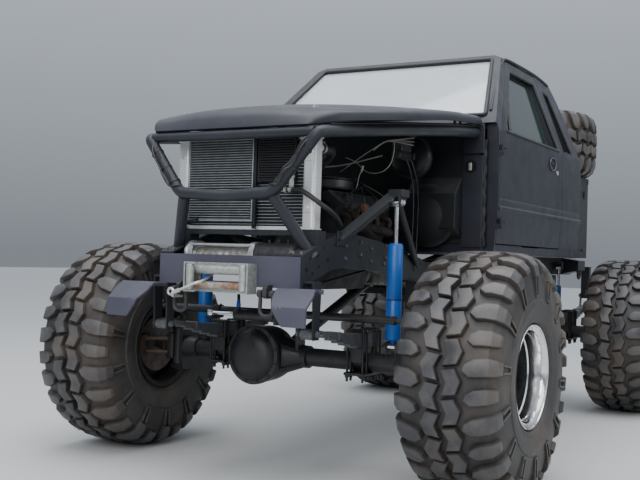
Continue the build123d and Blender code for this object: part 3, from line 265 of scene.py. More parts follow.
def rusting(name, colour, rust, start, end, rough=0.5, metal=0.8):
    """Zinc or steel with brown rust breaking through."""
    made = Finish(name)
    eaten = made.spread(made.noise(21, 9, 0.7), start, end, 0.0, 1.0)
    spangle = made.tint(colour, tuple(c * 0.72 for c in colour),
                        made.spread(made.noise(70, 3), 0.4, 0.6, 0.0, 1.0))
    made.colour(made.tint(spangle, rust, eaten))
    made.roughness(made.spread(eaten, 0.0, 1.0, rough, 0.88))
    made.link(made.spread(eaten, 0.0, 1.0, metal, 0.1), made.shader.inputs["Metallic"])
    made.relief(made.noise(150, 6), 0.0006, 0.6)
    return made.material


def rubber(name, colour, pale, rough, patch=6.0, grain=0.0006, soil_tone=(0.05, 0.045, 0.04)):
    """Weathered rubber with a dusty bloom."""
    made = Finish(name)
    bloom = made.spread(made.noise(patch, 8, 0.65), 0.36, 0.72, 0.0, 1.0)
    base = made.tint(colour, pale, bloom)
    soil = made.spread(made.noise(2.3, 7, 0.7), 0.45, 0.72, 0.0, 0.8)
    made.colour(made.tint(base, soil_tone, soil))
    made.roughness(made.spread(bloom, 0.0, 1.0, rough - 0.1, rough + 0.1))
    made.relief(made.noise(75, 8), grain, 0.7)
    return made.material


def clear_glass(name, colour, rough, see_through, ior=1.5, cover=1.0):
    """Window glass with a film of dust."""
    made = Finish(name)
    film = made.spread(made.noise(4, 7, 0.65), 0.3, 0.8, 0.0, 1.0)
    made.colour(made.tint(colour, tuple(min(1.0, c * 1.12) for c in colour), film))
    made.roughness(made.spread(film, 0.0, 1.0, rough, rough + 0.02))
    made.set(Transmission_Weight=see_through, IOR=ior, Alpha=cover)
    return made.material


def woven(name, colour, light, pitch, rough=0.8):
    """Vinyl or braided cover with a fine grain."""
    made = Finish(name)
    grain = made.node("ShaderNodeTexVoronoi")
    grain.inputs["Scale"].default_value = pitch
    made.link(made.where, grain.inputs["Vector"])
    made.colour(made.tint(colour, light, made.spread(made.noise(8, 6), 0.3, 0.75, 0.0, 1.0)))
    made.relief(grain.outputs["Distance"], 0.0005, 0.6)
    made.roughness(made.spread(made.noise(14), 0.3, 0.7, rough - 0.12, rough + 0.08))
    return made.material


def finned(name, colour, shade):
    """Thin upright fins of a cooler, with painted shade between their edges."""
    made = Finish(name)
    rows = made.waves("X", 110, "SAW", 0.6)
    # The dark bands between the fin edges are painted shade in the gaps.
    made.colour(made.tint(shade, colour, made.spread(rows, 0.35, 0.9, 0.0, 1.0)))
    made.roughness(made.spread(made.noise(30), 0.3, 0.7, 0.45, 0.7))
    made.relief(rows, 0.002, 0.8)
    made.set(Metallic=0.5)
    return made.material


BODY_PAINT = painted("charcoal_body_paint", (0.0115, 0.0125, 0.019), (0.021, 0.0215, 0.032), 0.38, dusty=0.16)
GUARD_PAINT = painted("guard_tube_paint", (0.013, 0.015, 0.021), (0.024, 0.027, 0.035), 0.42, dusty=0.2,
                      scuffs=0.6)
BAY_BLACK = painted("engine_bay_black", (0.006, 0.0075, 0.0085), (0.012, 0.0145, 0.015), 0.5, dusty=0.2,
                    scuffs=0.66)
BUMPER_PAINT = painted("violet_grey_paint", (0.050, 0.050, 0.072), (0.068, 0.067, 0.094), 0.5, dusty=0.2,
                       scuffs=0.66)
FRAME_PAINT = painted("frame_paint", (0.013, 0.015, 0.019), (0.024, 0.026, 0.030), 0.5, dusty=0.25,
                      scuffs=0.6)
AXLE_PAINT = cast_metal("axle_paint", (0.010, 0.012, 0.015), (0.020, 0.019, 0.018), 0.42, 0.1)
SHOCK_BLUE = painted("shock_blue", (0.008, 0.075, 0.30), (0.012, 0.10, 0.36), 0.3, dusty=0.1, scuffs=0.7)
SHOCK_BAND = painted("shock_band", (0.008, 0.03, 0.12), (0.012, 0.045, 0.16), 0.32, dusty=0.1)
CHROME = bare_metal("polished_rod", (0.85, 0.86, 0.88), (0.7, 0.7, 0.72), 0.1)
BOLT_STEEL = rusting("bolt_steel", (0.16, 0.16, 0.165), (0.06, 0.04, 0.03), 0.5, 0.66)
BRIGHT_BOLT = rusting("bright_bolt", (0.6, 0.6, 0.6), (0.3, 0.24, 0.18), 0.6, 0.75)
SPRING_STEEL = rusting("spring_steel", (0.13, 0.138, 0.15), (0.09, 0.07, 0.055), 0.5, 0.7, 0.5, 0.4)
TYRE_BODY = rubber("tyre_body", (0.014, 0.0132, 0.013), (0.052, 0.048, 0.046), 0.56, 5.0,
                   soil_tone=(0.11, 0.084, 0.064))
LUG_FACE = rubber("lug_face", (0.030, 0.0295, 0.032), (0.088, 0.086, 0.091), 0.46, 9.0,
                  soil_tone=(0.13, 0.102, 0.08))
WHEEL_POLISH = bare_metal("polished_wheel", (0.86, 0.86, 0.88), (0.66, 0.65, 0.64), 0.12, patch=9)
# Dark paint of the wheel centres; the same finish on the inner half of each barrel is painted shade inside the
# wheel.
WHEEL_DARK_AND_SHADE = painted("dark_centre_and_barrel_shade", (0.008, 0.008, 0.009), (0.018, 0.0175, 0.017), 0.5, dusty=0.1)
ZINC = rusting("galvanised_steel", (0.44, 0.46, 0.43), (0.17, 0.10, 0.06), 0.6, 0.74, 0.48, 0.6)
RUSTY_ZINC = rusting("rusty_roller", (0.44, 0.43, 0.39), (0.24, 0.105, 0.05), 0.47, 0.62, 0.5, 0.5)
SHACKLE_STEEL = rusting("shackle_steel", (0.06, 0.06, 0.065), (0.045, 0.038, 0.034), 0.52, 0.66, 0.5, 0.6)
MOTOR_DARK = bare_metal("winch_motor_dark", (0.07, 0.07, 0.075), (0.035, 0.035, 0.036), 0.4, metal=0.6)
WINCH_SILVER = bare_metal("winch_silver", (0.62, 0.63, 0.64), (0.42, 0.42, 0.41), 0.34, metal=0.85)
ROPE_STEEL = rusting("rope_steel", (0.42, 0.41, 0.39), (0.18, 0.15, 0.12), 0.5, 0.7, 0.42, 0.75)
CABLE_STEEL = rusting("cable_steel", (0.72, 0.71, 0.67), (0.34, 0.3, 0.25), 0.56, 0.76, 0.38, 0.75)
RADIATOR_METAL = bare_metal("bare_aluminium", (0.84, 0.85, 0.85), (0.68, 0.68, 0.67), 0.42, (1, 1, 9), 0.6)
FIN_METAL = bare_metal("fin_metal", (0.33, 0.355, 0.37), (0.22, 0.235, 0.245), 0.55, metal=0.4)
FIN_DARK = painted("dark_fins", (0.006, 0.0075, 0.0085), (0.013, 0.015, 0.017), 0.6, dusty=0.1)
ENGINE_IRON = cast_metal("engine_iron", (0.028, 0.030, 0.032), (0.014, 0.013, 0.012), 0.55)
GEARBOX_CASE = cast_metal("gearbox_case", (0.22, 0.22, 0.22), (0.10, 0.09, 0.08), 0.5, 0.6)
HOT_PIPE = rusting("exhaust_rust", (0.022, 0.019, 0.017), (0.05, 0.027, 0.018), 0.45, 0.72, 0.6, 0.4)
STUB_RUST = rusting("rusty_stub", (0.11, 0.05, 0.034), (0.2, 0.085, 0.055), 0.38, 0.64, 0.7, 0.2)
HOSE_RUBBER = rubber("hose_rubber", (0.008, 0.008, 0.009), (0.02, 0.02, 0.02), 0.5, 10,
                     soil_tone=(0.03, 0.028, 0.026))
TRIM_RUBBER = rubber("trim_rubber", (0.007, 0.007, 0.008), (0.018, 0.018, 0.019), 0.55, 10, 0.0003,
                     (0.028, 0.027, 0.026))
# Windscreen: its pale bluish-white base colour is painted reflection of the bright sky, with a patchy film of
# dust over it.
SCREEN_GLASS_AND_REFLECTION = clear_glass("screen_glass_and_reflection", (0.80, 0.85, 0.90), 0.04, 0.55)
SIDE_GLASS = clear_glass("side_glass", (0.034, 0.05, 0.047), 0.02, 0.0, 1.5, 0.78)
SEAT_VINYL = woven("seat_vinyl", (0.045, 0.043, 0.043), (0.075, 0.07, 0.068), 900)
DASH_PLASTIC = woven("dash_plastic", (0.030, 0.031, 0.034), (0.05, 0.05, 0.052), 700, 0.6)
WIRE_WHITE = woven("white_wire", (0.55, 0.54, 0.5), (0.4, 0.39, 0.36), 1500, 0.5)
FITTING_BLUE = bare_metal("blue_fitting", (0.03, 0.10, 0.42), (0.02, 0.06, 0.3), 0.3, metal=0.8)
BRAKE_IRON = rusting("brake_disc_iron", (0.12, 0.11, 0.105), (0.085, 0.045, 0.028), 0.45, 0.62, 0.45, 0.7)
BRAKE_RUST = rusting("brake_caliper_rust", (0.045, 0.04, 0.036), (0.10, 0.05, 0.03), 0.4, 0.64, 0.6, 0.4)
KNUCKLE_IRON = cast_metal("knuckle_iron", (0.016, 0.017, 0.019), (0.032, 0.027, 0.023), 0.5, 0.2)
GREASE = cast_metal("white_grease", (0.62, 0.60, 0.54), (0.35, 0.33, 0.28), 0.4, 0.0, 0.0006)
SHADOW_BLACK = painted("hole_shadow", (0.004, 0.004, 0.004), (0.007, 0.007, 0.007), 0.9, dusty=0.05)
COVER_METAL = bare_metal("cover_metal", (0.10, 0.10, 0.105), (0.05, 0.05, 0.05), 0.45, metal=0.6, patch=14)
BOOSTER_BLACK = painted("booster_black", (0.008, 0.0095, 0.0105), (0.016, 0.018, 0.019), 0.35, dusty=0.15)
HANDLE_DARK = painted("handle_black", (0.008, 0.008, 0.009), (0.016, 0.016, 0.017), 0.5, dusty=0.15)
FIN_ZIGZAG = finned("fin_rows", (0.075, 0.083, 0.088), (0.02, 0.023, 0.025))


# Shapes that pieces are made from

def turn_to(direction):
    """Rotation that carries +Z onto a direction."""
    return Vector(direction).to_track_quat("Z", "Y").to_matrix().to_4x4()


def facing(spot, direction):
    """Placed frame whose Z axis points along a direction."""
    return Matrix.Translation(spot) @ turn_to(direction)


def spot_of(point):
    """Place of a point: a tuple is measured from the front axle, and a Vector is in place already."""
    return point if isinstance(point, Vector) else at(*point)


def everything(bm):
    """All vertices, edges and faces of a mesh."""
    return bm.verts[:] + bm.edges[:] + bm.faces[:]


def corners_of(a, b):
    """Lowest and highest corners of the box between two points."""
    return Vector(map(min, zip(a, b))), Vector(map(max, zip(a, b)))


def round_points(count, radius, start=0):
    """Evenly spaced points of a circle, turned by a share of their spacing."""
    for n in range(count):
        angle = 2 * pi * (n + start) / count
        yield radius * cos(angle), radius * sin(angle)


def rod(bm, start, end, radius, end_radius=None, sides=24):
    """Round bar or cone between two points."""
    start, end = spot_of(start), spot_of(end)
    line = end - start
    place = Matrix.Translation((start + end) / 2) @ turn_to(line)
    made = bmesh.ops.create_cone(bm, cap_ends=True, segments=sides, radius1=radius,
                                 radius2=radius if end_radius is None else end_radius, depth=line.length,
                                 matrix=place)
    return made["verts"]


def block(bm, low, high, round_by=0.0, steps=2):
    """Box between two corners, with rounded edges where asked."""
    low, high = spot_of(low), spot_of(high)
    place = Matrix.Translation((low + high) / 2) @ Matrix.Diagonal((*(high - low), 1))
    verts = bmesh.ops.create_cube(bm, size=1, matrix=place)["verts"]
    if round_by:
        edges = list({edge for vert in verts for edge in vert.link_edges})
        bmesh.ops.bevel(bm, geom=edges, offset=round_by, segments=steps, profile=0.5, affect="EDGES",
                        clamp_overlap=True, material=-1)
    return verts


def bolt(bm, head, out, across=0.02, height=0.01, washer=True):
    """Hexagon head standing out from a face, with its washer."""
    head, out = spot_of(head), Vector(out).normalized()
    if washer:
        rod(bm, head - out * 0.002, head + out * 0.0025, across * 0.68, sides=16)
    rod(bm, head, head + out * height, across * 0.56, across * 0.56, 6)
    rod(bm, head + out * height, head + out * (height + 0.0015), across * 0.5, across * 0.4, 6)


def plate(bm, outline, thickness):
    """Flat outline of points pushed along a vector."""
    face = bm.faces.new([bm.verts.new(spot_of(point)) for point in outline])
    made = bmesh.ops.extrude_face_region(bm, geom=[face])
    moved = [item for item in made["geom"] if isinstance(item, bmesh.types.BMVert)]
    bmesh.ops.translate(bm, verts=moved, vec=Vector(thickness))
    return moved


def turned(bm, profile, place, sides=48, closed=False):
    """Turned shape: (along, radius) points swept about an axis. The placed frame's Z is the axis."""
    verts = [bm.verts.new(place @ Vector((radius, 0, along))) for along, radius in profile]
    edges = [bm.edges.new(two) for two in zip(verts, verts[1:])]
    if closed:
        edges.append(bm.edges.new((verts[-1], verts[0])))
    axis = (place.to_3x3() @ Vector((0, 0, 1))).normalized()
    bmesh.ops.spin(bm, geom=verts + edges, cent=place.translation, axis=axis, angle=2 * pi, steps=sides,
                   use_merge=True, use_normal_flip=False, use_duplicate=False)


def along_x(x, y, z, side=1):
    """Placed frame whose axis lies along X, pointing to the given side."""
    return facing(at(x, y, z), (side, 0, 0))


def collar(bm, half, inner, outer, place, sides):
    """Flat-ended ring about an axis."""
    turned(bm, [(-half, inner), (-half, outer), (half, outer), (half, inner)], place, sides, True)


def curve_mesh(points, steps, radius=0.0, sides=0, cyclic=False):
    """Mesh of a smooth curve along its points, or of the tube round it."""
    curve = bpy.data.curves.new("run", "CURVE")
    curve.dimensions = "3D"
    curve.bevel_depth = radius
    curve.bevel_resolution = sides
    curve.use_fill_caps = not cyclic
    spline = curve.splines.new("NURBS")
    spline.points.add(len(points) - 1)
    for control, point in zip(spline.points, points):
        control.co = (*point, 1)
    spline.order_u = 3
    spline.use_endpoint_u = not cyclic
    spline.use_cyclic_u = cyclic
    spline.resolution_u = steps
    holder = bpy.data.objects.new("run", curve)
    mesh = bpy.data.meshes.new_from_object(holder)
    bpy.data.objects.remove(holder)
    bpy.data.curves.remove(curve)
    return mesh


def eased_loop(corners, soft):
    """Closed run through corners, bent close to each and straight between them."""
    run = []
    for n, corner in enumerate(corners):
        before, after = corners[n - 1], corners[(n + 1) % len(corners)]
        run += [corner + (before - corner).normalized() * soft, corner,
                corner + (after - corner).normalized() * soft, (corner + after) / 2]
    return run


def pipe(bm, points, radius, sides=3, rounding=None, cyclic=False):
    """Round pipe, wire or bead along a smooth run. rounding keeps bends near the corners."""
    points = [spot_of(point) for point in points]
    if rounding:
        run = [points[0]]
        for before, corner, after in zip(points, points[1:], points[2:]):
            run += [corner + (before - corner).normalized() * rounding, corner,
                    corner + (after - corner).normalized() * rounding]
        points = run + [points[-1]]
    mesh = curve_mesh(points, 5, radius, sides, cyclic)
    bm.from_mesh(mesh)
    bpy.data.meshes.remove(mesh)


def mirrored(bm):
    """Adds the truck's right-hand copy of everything in the mesh."""
    bmesh.ops.mirror(bm, geom=everything(bm), matrix=Matrix.Identity(4), merge_dist=-1, axis="X")


def piece(name, bm, finish, stands_for=(), soften=0.0, corner=38, turn_out=True, more=(),
          body="chassis"):
    """Finished object from a mesh: clean, with its shading, edge softening, finish and body."""
    bmesh.ops.remove_doubles(bm, verts=bm.verts, dist=2e-6)
    if turn_out:
        bmesh.ops.recalc_face_normals(bm, faces=bm.faces)
    for face in bm.faces:
        face.smooth = True
    if not soften:
        for edge in bm.edges:
            edge.smooth = len(edge.link_faces) == 2 and edge.calc_face_angle(0) < radians(corner)
    mesh = bpy.data.meshes.new(name)
    bm.to_mesh(mesh)
    bm.free()
    for material in (finish, *more):
        mesh.materials.append(material)
    made = bpy.data.objects.new(name, mesh)
    bpy.context.collection.objects.link(made)
    if soften:
        bevel = made.modifiers.new("soft_edges", "BEVEL")
        bevel.width = soften
        bevel.segments = 2
        bevel.limit_method = "ANGLE"
        bevel.angle_limit = radians(corner)
        made.modifiers.new("shading", "WEIGHTED_NORMAL").keep_sharp = True
    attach(made, body)
    if stands_for:
        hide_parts(*stands_for)
    return made


def cad_shape(node):
    """Copy of a CAD node's shape with its triangles joined into clean faces."""
    bm = bmesh.new()
    bm.from_mesh(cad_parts[node].data)
    bmesh.ops.remove_doubles(bm, verts=bm.verts, dist=2e-5)
    bmesh.ops.dissolve_limit(bm, angle_limit=radians(0.6), verts=bm.verts, edges=bm.edges,
                             use_dissolve_boundaries=False)
    return bm


def dressed(node, finish, soften=0.0015, corner=32, body="chassis"):
    """A CAD node in its own shape with softened edges and its finish."""
    piece(node, cad_shape(node), finish, (node,), soften, corner, False, body=body)


# Tyres and wheels

# Half of the tread's section from its middle outwards: distance from the middle, radius, lug height
TREAD = (
    (0.0, 0.519, 0.0275), (0.08, 0.5185, 0.0275), (0.15, 0.513, 0.0265), (0.185, 0.502, 0.024),
    (0.204, 0.480, 0.023), (0.2145, 0.452, 0.0185), (0.2205, 0.420, 0.0125), (0.2245, 0.385, 0.0095),
    (0.2275, 0.345, 0.0065),
)
PITCHES = 28
PITCH = 2 * pi * AXLE_Z / PITCHES
LUG_TALL = 0.0275

# Lug outlines: distance across the tread from its middle, share of a pitch along it
CENTRE_BLOCK = ((0.003, 0.03), (0.062, -0.05), (0.089, 0.36), (0.070, 0.80), (0.008, 0.88), (0.026, 0.44))
LONG_LUG = ((0.089, 1.0), (0.099, 0.76), (0.132, 0.58), (0.18, 0.50), (0.256, 0.54), (0.258, 1.06),
            (0.19, 1.14), (0.12, 1.19))
SHORT_LUG = ((0.099, 0.98), (0.108, 0.76), (0.138, 0.60), (0.18, 0.55), (0.232, 0.58), (0.234, 1.0),
             (0.19, 1.09), (0.126, 1.14))
WALL_RIBS = (
    ((0.262, 0.58), (0.345, 0.55), (0.345, 0.66), (0.262, 0.70)),
    ((0.262, 0.90), (0.345, 0.87), (0.345, 0.98), (0.262, 1.02)),
    ((0.338, 0.55), (0.348, 0.55), (0.348, 0.98), (0.338, 0.98)),
)


def tread_rows():
    """The tread's section with the distance along its surface and its outward direction at each row."""
    rows = []
    run = 0.0
    for n, (x, r, rise) in enumerate(TREAD):
        before = TREAD[max(n - 1, 0)]
        after = TREAD[min(n + 1, len(TREAD) - 1)]
        run += Vector((x - before[0], r - before[1])).length
        rows.append((run, Vector((x, r)), rise,
                     Vector((before[1] - after[1], after[0] - before[0])).normalized()))
    return rows


def wrap_on_tyre(bm):
    """Carries a flat strip (across, along, up) onto the tyre, whose axis is X."""
    rows = tread_rows()
    for vert in bm.verts:
        across, along, up = vert.co
        n = 1
        while n < len(rows) - 1 and abs(across) > rows[n][0]:
            n += 1
        low, high = rows[n - 1], rows[n]
        share = (abs(across) - low[0]) / (high[0] - low[0])
        spot = low[1].lerp(high[1], share)
        spot += low[3].lerp(high[3], share) * (up / LUG_TALL) * (low[2] + (high[2] - low[2]) * share)
        angle = along / AXLE_Z
        vert.co = (spot.x if across >= 0 else -spot.x, spot.y * cos(angle), spot.y * sin(angle))


def add_lugs(bm):
    """All lugs: two pitches laid flat with rounded tops, wrapped on the tyre and repeated round it."""
    strip = [(CENTRE_BLOCK, 0), (CENTRE_BLOCK, 1), (LONG_LUG, 0),
             (SHORT_LUG, 1)] + [(rib, 0) for rib in WALL_RIBS]
    for side, stagger in ((1, 0), (-1, 0.5)):
        for outline, start in strip:
            top = [Vector((side * across, (share + start + stagger) * PITCH, LUG_TALL))
                   for across, share in outline]
            foot = plate(bm, top, (0, 0, -1.2 * LUG_TALL))
            middle = sum((vert.co for vert in foot), Vector()) / len(foot)
            bmesh.ops.scale(bm, vec=(1.05, 1.06, 1), space=Matrix.Translation(-middle), verts=foot)
    rims = [edge for edge in bm.edges if min(vert.co.z for vert in edge.verts) > LUG_TALL - 1e-5]
    bmesh.ops.bevel(bm, geom=rims, offset=0.004, segments=2, profile=0.5, affect="EDGES", clamp_overlap=True,
                    material=-1)
    for run, *_ in tread_rows()[2:]:
        for across in (run, -run):
            bmesh.ops.bisect_plane(bm, geom=everything(bm), dist=1e-6, plane_co=(across, 0, 0),
                                   plane_no=(1, 0, 0))
    for face in bm.faces:
        face.material_index = 1 if min(vert.co.z for vert in face.verts) > LUG_TALL - 1e-5 else 0
    wrap_on_tyre(bm)
    copies = PITCHES // 2 - 1
    bmesh.ops.spin(bm, geom=everything(bm), cent=(0, 0, 0), axis=(1, 0, 0),
                   angle=2 * pi * copies / (copies + 1), steps=copies, use_duplicate=True)


def tyre_mesh():
    """Mud tyre on the X axis: carcass with its ribbed sidewall, and its lugs."""
    bm = bmesh.new()
    add_lugs(bm)
    half = [(x, r) for x, r, _ in TREAD]
    half += [(0.2325, 0.338), (0.2335, 0.332), (0.2325, 0.327), (0.2335, 0.321), (0.231, 0.300),
             (0.2235, 0.268), (0.2225, 0.262), (0.2245, 0.257), (0.217, 0.243), (0.2085, 0.236),
             (0.199, 0.2325), (0.1955, 0.222), (0.19, 0.2095)]
    profile = [(-x, r) for x, r in reversed(half)] + half[1:]
    turned(bm, profile, turn_to((1, 0, 0)), 112, True)
    bmesh.ops.remove_doubles(bm, verts=bm.verts, dist=2e-6)
    bmesh.ops.recalc_face_normals(bm, faces=bm.faces)
    mesh = bpy.data.meshes.new("tyre")
    bm.to_mesh(mesh)
    bm.free()
    return mesh


def wheel_mesh(deep):
    """Polished wheel on the X axis, open to +X: lips, barrel with its step, and the dark centre."""
    bm = bmesh.new()
    axis = turn_to((1, 0, 0))
    barrel = [
        (-0.190, 0.2085), (-0.2, 0.213), (-0.2035, 0.229), (-0.208, 0.2310), (-0.2115, 0.229),
        (-0.2105, 0.222),
        (-0.204, 0.203), (-0.19, 0.2), (-0.12, 0.196), (deep - 0.003, 0.19), (deep + 0.02, 0.1885),
        (0.06, 0.1915),
        (0.125, 0.1935), (0.131, 0.1975), (0.182, 0.2), (0.196, 0.2035), (0.2045, 0.212), (0.2085, 0.222),
        (0.2125, 0.2235), (0.214, 0.2275), (0.2115, 0.2305), (0.207, 0.2305), (0.2035, 0.227), (0.2, 0.213),
        (0.190, 0.2085),
    ]
    turned(bm, barrel, axis, 96, True)
    centre = [
        (deep - 0.012, 0.027), (deep - 0.012, 0.189), (deep - 0.002, 0.1895), (deep, 0.184),
        (deep - 0.002, 0.16),
        (deep + 0.012, 0.150), (deep + 0.013, 0.112), (deep + 0.004, 0.1), (deep + 0.004, 0.064),
        (deep + 0.06, 0.06),
        (deep + 0.066, 0.056), (deep + 0.068, 0.03), (deep + 0.06, 0.026), (deep + 0.06, CORE),
    ]
    start = len(bm.faces)
    turned(bm, [(deep - 0.012, CORE)] + centre, axis, 64)
    for y, z in round_points(8, 0.083):
        foot = Vector((deep + 0.004, y, z))
        bolt(bm, foot, (1, 0, 0), 0.021, 0.017)
        hole = Vector((deep + 0.0105, *(foot.yz * (0.131 / 0.083))))
        rod(bm, hole, hole + Vector((0.0035, 0, 0)), 0.011, 0.0095, 16)
    bm.faces.ensure_lookup_table()
    # The inner half of the barrel takes the dark finish as painted shade; the centre itself is painted dark.
    for n, face in enumerate(bm.faces):
        face.material_index = 1 if n >= start or face.calc_center_median().x < deep - 0.005 else 0
    mesh = bpy.data.meshes.new("wheel")
    bm.to_mesh(mesh)
    bm.free()
    return mesh


def placed(mesh, place):
    """Copy of a mesh, set in its place."""
    bm = bmesh.new()
    bm.from_mesh(mesh)
    bmesh.ops.transform(bm, matrix=place, verts=bm.verts)
    return bm


def shod_wheel(name, place, meshes, nodes, body="chassis"):
    """One wheel with its tyre."""
    piece(f"tyre_{name}", placed(meshes[0], place), TYRE_BODY, (nodes[0],), corner=24,
          turn_out=False, more=(LUG_FACE,), body=body)
    piece(f"wheel_{name}", placed(meshes[1], place), WHEEL_POLISH, (nodes[1],), corner=30,
          more=(WHEEL_DARK_AND_SHADE,), body=body)


def wheels():
    """Four wheels with their tyres, and the spare lying on the carrier."""
    meshes = tyre_mesh(), wheel_mesh(-0.085)
    corners = (
        # name, distance from the middle, place along the truck
        ("front_left", FRONT_WHEEL_X, 0), ("front_right", -FRONT_WHEEL_X, 0),
        ("rear_left", REAR_WHEEL_X, WHEELBASE), ("rear_right", -REAR_WHEEL_X, WHEELBASE),
    )
    for n, (name, x, y) in enumerate(corners):
        outward = Matrix.Rotation(0 if x > 0 else pi, 4, "Z")
        place = Matrix.Translation(at(x, y, AXLE_Z)) @ outward @ Matrix.Rotation(0.11 + 0.7 * n, 4, "X")
        shod_wheel(name, place, meshes, (f"tyre_{name}", f"rim_{name}"), f"wheel_{name}")
    lying = Matrix.Translation(at(*SPARE_AT)) @ Matrix.Rotation(-pi / 2, 4, "Y")
    shod_wheel("spare", lying, meshes, ("spare_tyre", "spare_rim"))


def brakes():
    """Vented discs on the front wheels and calipers on their knuckles."""
    for side, name in SIDES:
        bm = bmesh.new()
        place = along_x(side * (FRONT_WHEEL_X - 0.142), 0, AXLE_Z, side)
        turned(bm, [(-0.011, 0.0245), (-0.011, 0.148), (-0.003, 0.148), (-0.003, 0.139), (0.003, 0.139),
                    (0.003, 0.148), (0.011, 0.148), (0.011, 0.085), (0.02, 0.08), (0.046, 0.078),
                    (0.046, 0.0245)], place, 64, True)
        for across, up in round_points(24, 0.125):
            spot = place @ Vector((across, up, 0.0118))
            rod(bm, spot, spot + Vector((side * 0.0007, 0, 0)), 0.004, sides=8)
        piece(f"brake_disc_{name}", bm, BRAKE_IRON, body=f"wheel_front_{name}")
        bm = bmesh.new()
        ends = at(side * 0.848, -0.180, AXLE_Z - 0.055), at(side * 0.908, -0.100, AXLE_Z + 0.06)
        block(bm, *corners_of(*ends), 0.012, 3)
        for z in (-0.035, 0.035):
            rod(bm, (side * 0.755, -0.05, AXLE_Z + z), (side * 0.852, -0.112, AXLE_Z + z), 0.011)
        piece(f"brake_caliper_{name}", bm, BRAKE_RUST, body=f"knuckle_{name}")


# Axles, springs and dampers

SPRINGS = (
    # name, x, y of the axle, half length
    ("front", FRONT_SPRING_X, 0.0, 0.530),
    ("rear", REAR_SPRING_X, WHEELBASE, 0.490),
)
SPRING_TOP = 0.690
SPRING_RISE = 0.040
EYE_Z = 0.706


def add_leaf(bm, x, y, reach, drop, whole):
    """One leaf, bent to the spring's curve."""
    verts = block(bm, (x - 0.0325, y - reach, -0.0045), (x + 0.0325, y + reach, 0.0045))
    geom = list({item for vert in verts for item in (vert, *vert.link_edges, *vert.link_faces)})
    for n in range(1, 14):
        cut = y - reach + 2 * reach * n / 14
        made = bmesh.ops.bisect_plane(bm, geom=geom, dist=1e-6, plane_co=at(0, cut, 0), plane_no=(0, 1, 0))
        geom = list(dict.fromkeys(made["geom"] + made["geom_cut"]))
    for vert in {item for item in geom if isinstance(item, bmesh.types.BMVert)}:
        along = vert.co.y - y - AXLE_Y
        vert.co.z += SPRING_TOP - 0.005 - drop + SPRING_RISE * (along / whole) ** 2


def springs():
    """Leaf packs with their eyes, clips, shackles and bolts."""
    for name, x, y, half in SPRINGS:
        bm = bmesh.new()
        leaves = 7
        for n in range(leaves):
            reach = half * (1 - 0.86 * n / leaves) - (0.012 if n == 0 else 0)
            add_leaf(bm, x, y, reach, n * 0.01, half)
        for end in (-half, half):
            collar(bm, 0.0325, 0.0125, 0.024, along_x(x, y + end, EYE_Z), 32)
            clip = y + end * 0.58
            rise = SPRING_RISE * 0.58 ** 2
            block(bm, (x - 0.037, clip - 0.011, SPRING_TOP + rise - 0.034),
                  (x + 0.037, clip + 0.011, SPRING_TOP + rise + 0.0035), 0.002)
        for n in (-1, 1):
            rod(bm, (x - 0.05, y + n * half, EYE_Z), (x + 0.05, y + n * half, EYE_Z), 0.0085)
            for end in (-0.0435, 0.0435):
                bolt(bm, (x + end, y + n * half, EYE_Z), (end, 0, 0), 0.024, 0.012)
        low, high = (y + half, EYE_Z), (y + half + 0.015, EYE_Z + 0.1)
        ends = ((low, ((-0.02, -0.014), (-0.008, -0.022), (0.012, -0.022), (0.02, -0.01))),
                (high, ((0.02, 0.01), (0.008, 0.02), (-0.012, 0.02), (-0.02, 0.01))))
        for start in (-0.0405, 0.0325):
            outline = [at(x + start, eye[0] + dy, eye[1] + dz) for eye, shape in ends for dy, dz in shape]
            plate(bm, outline, (0.008, 0, 0))
        rod(bm, (x - 0.048, *high), (x + 0.048, *high), 0.0085)
        for end in (-0.0405, 0.0405):
            bolt(bm, (x + end, *high), (end, 0, 0), 0.024, 0.012)
        mirrored(bm)
        piece(f"{name}_springs", bm, SPRING_STEEL, (f"{name}_springs",), 0.0008)


def add_clamp(bm, x, y):
    """Two U-bolts over a spring pack, with its top pad and the plate and nuts under the axle."""
    half = 0.0415
    under = AXLE_Z - 0.059
    block(bm, (x - half - 0.012, y - 0.105, under), (x + half + 0.012, y + 0.105, under + 0.014), 0.004)
    block(bm, (x - half + 0.005, y - 0.098, SPRING_TOP), (x + half - 0.005, y + 0.098, SPRING_TOP + 0.009),
          0.003)
    block(bm, (x - 0.031, y - 0.08, AXLE_Z), (x + 0.031, y + 0.08, SPRING_TOP - 0.07), 0.004)
    for along in (-0.088, -0.05, 0.05, 0.088):
        high = SPRING_TOP + 0.011
        pipe(bm, [(x - half, y + along, under - 0.03), (x - half, y + along, high),
                  (x + half, y + along, high), (x + half, y + along, under - 0.03)], 0.006, 3, 0.016)
        for side in (-half, half):
            bolt(bm, (x + side, y + along, under), (0, 0, -1), 0.018, 0.012)


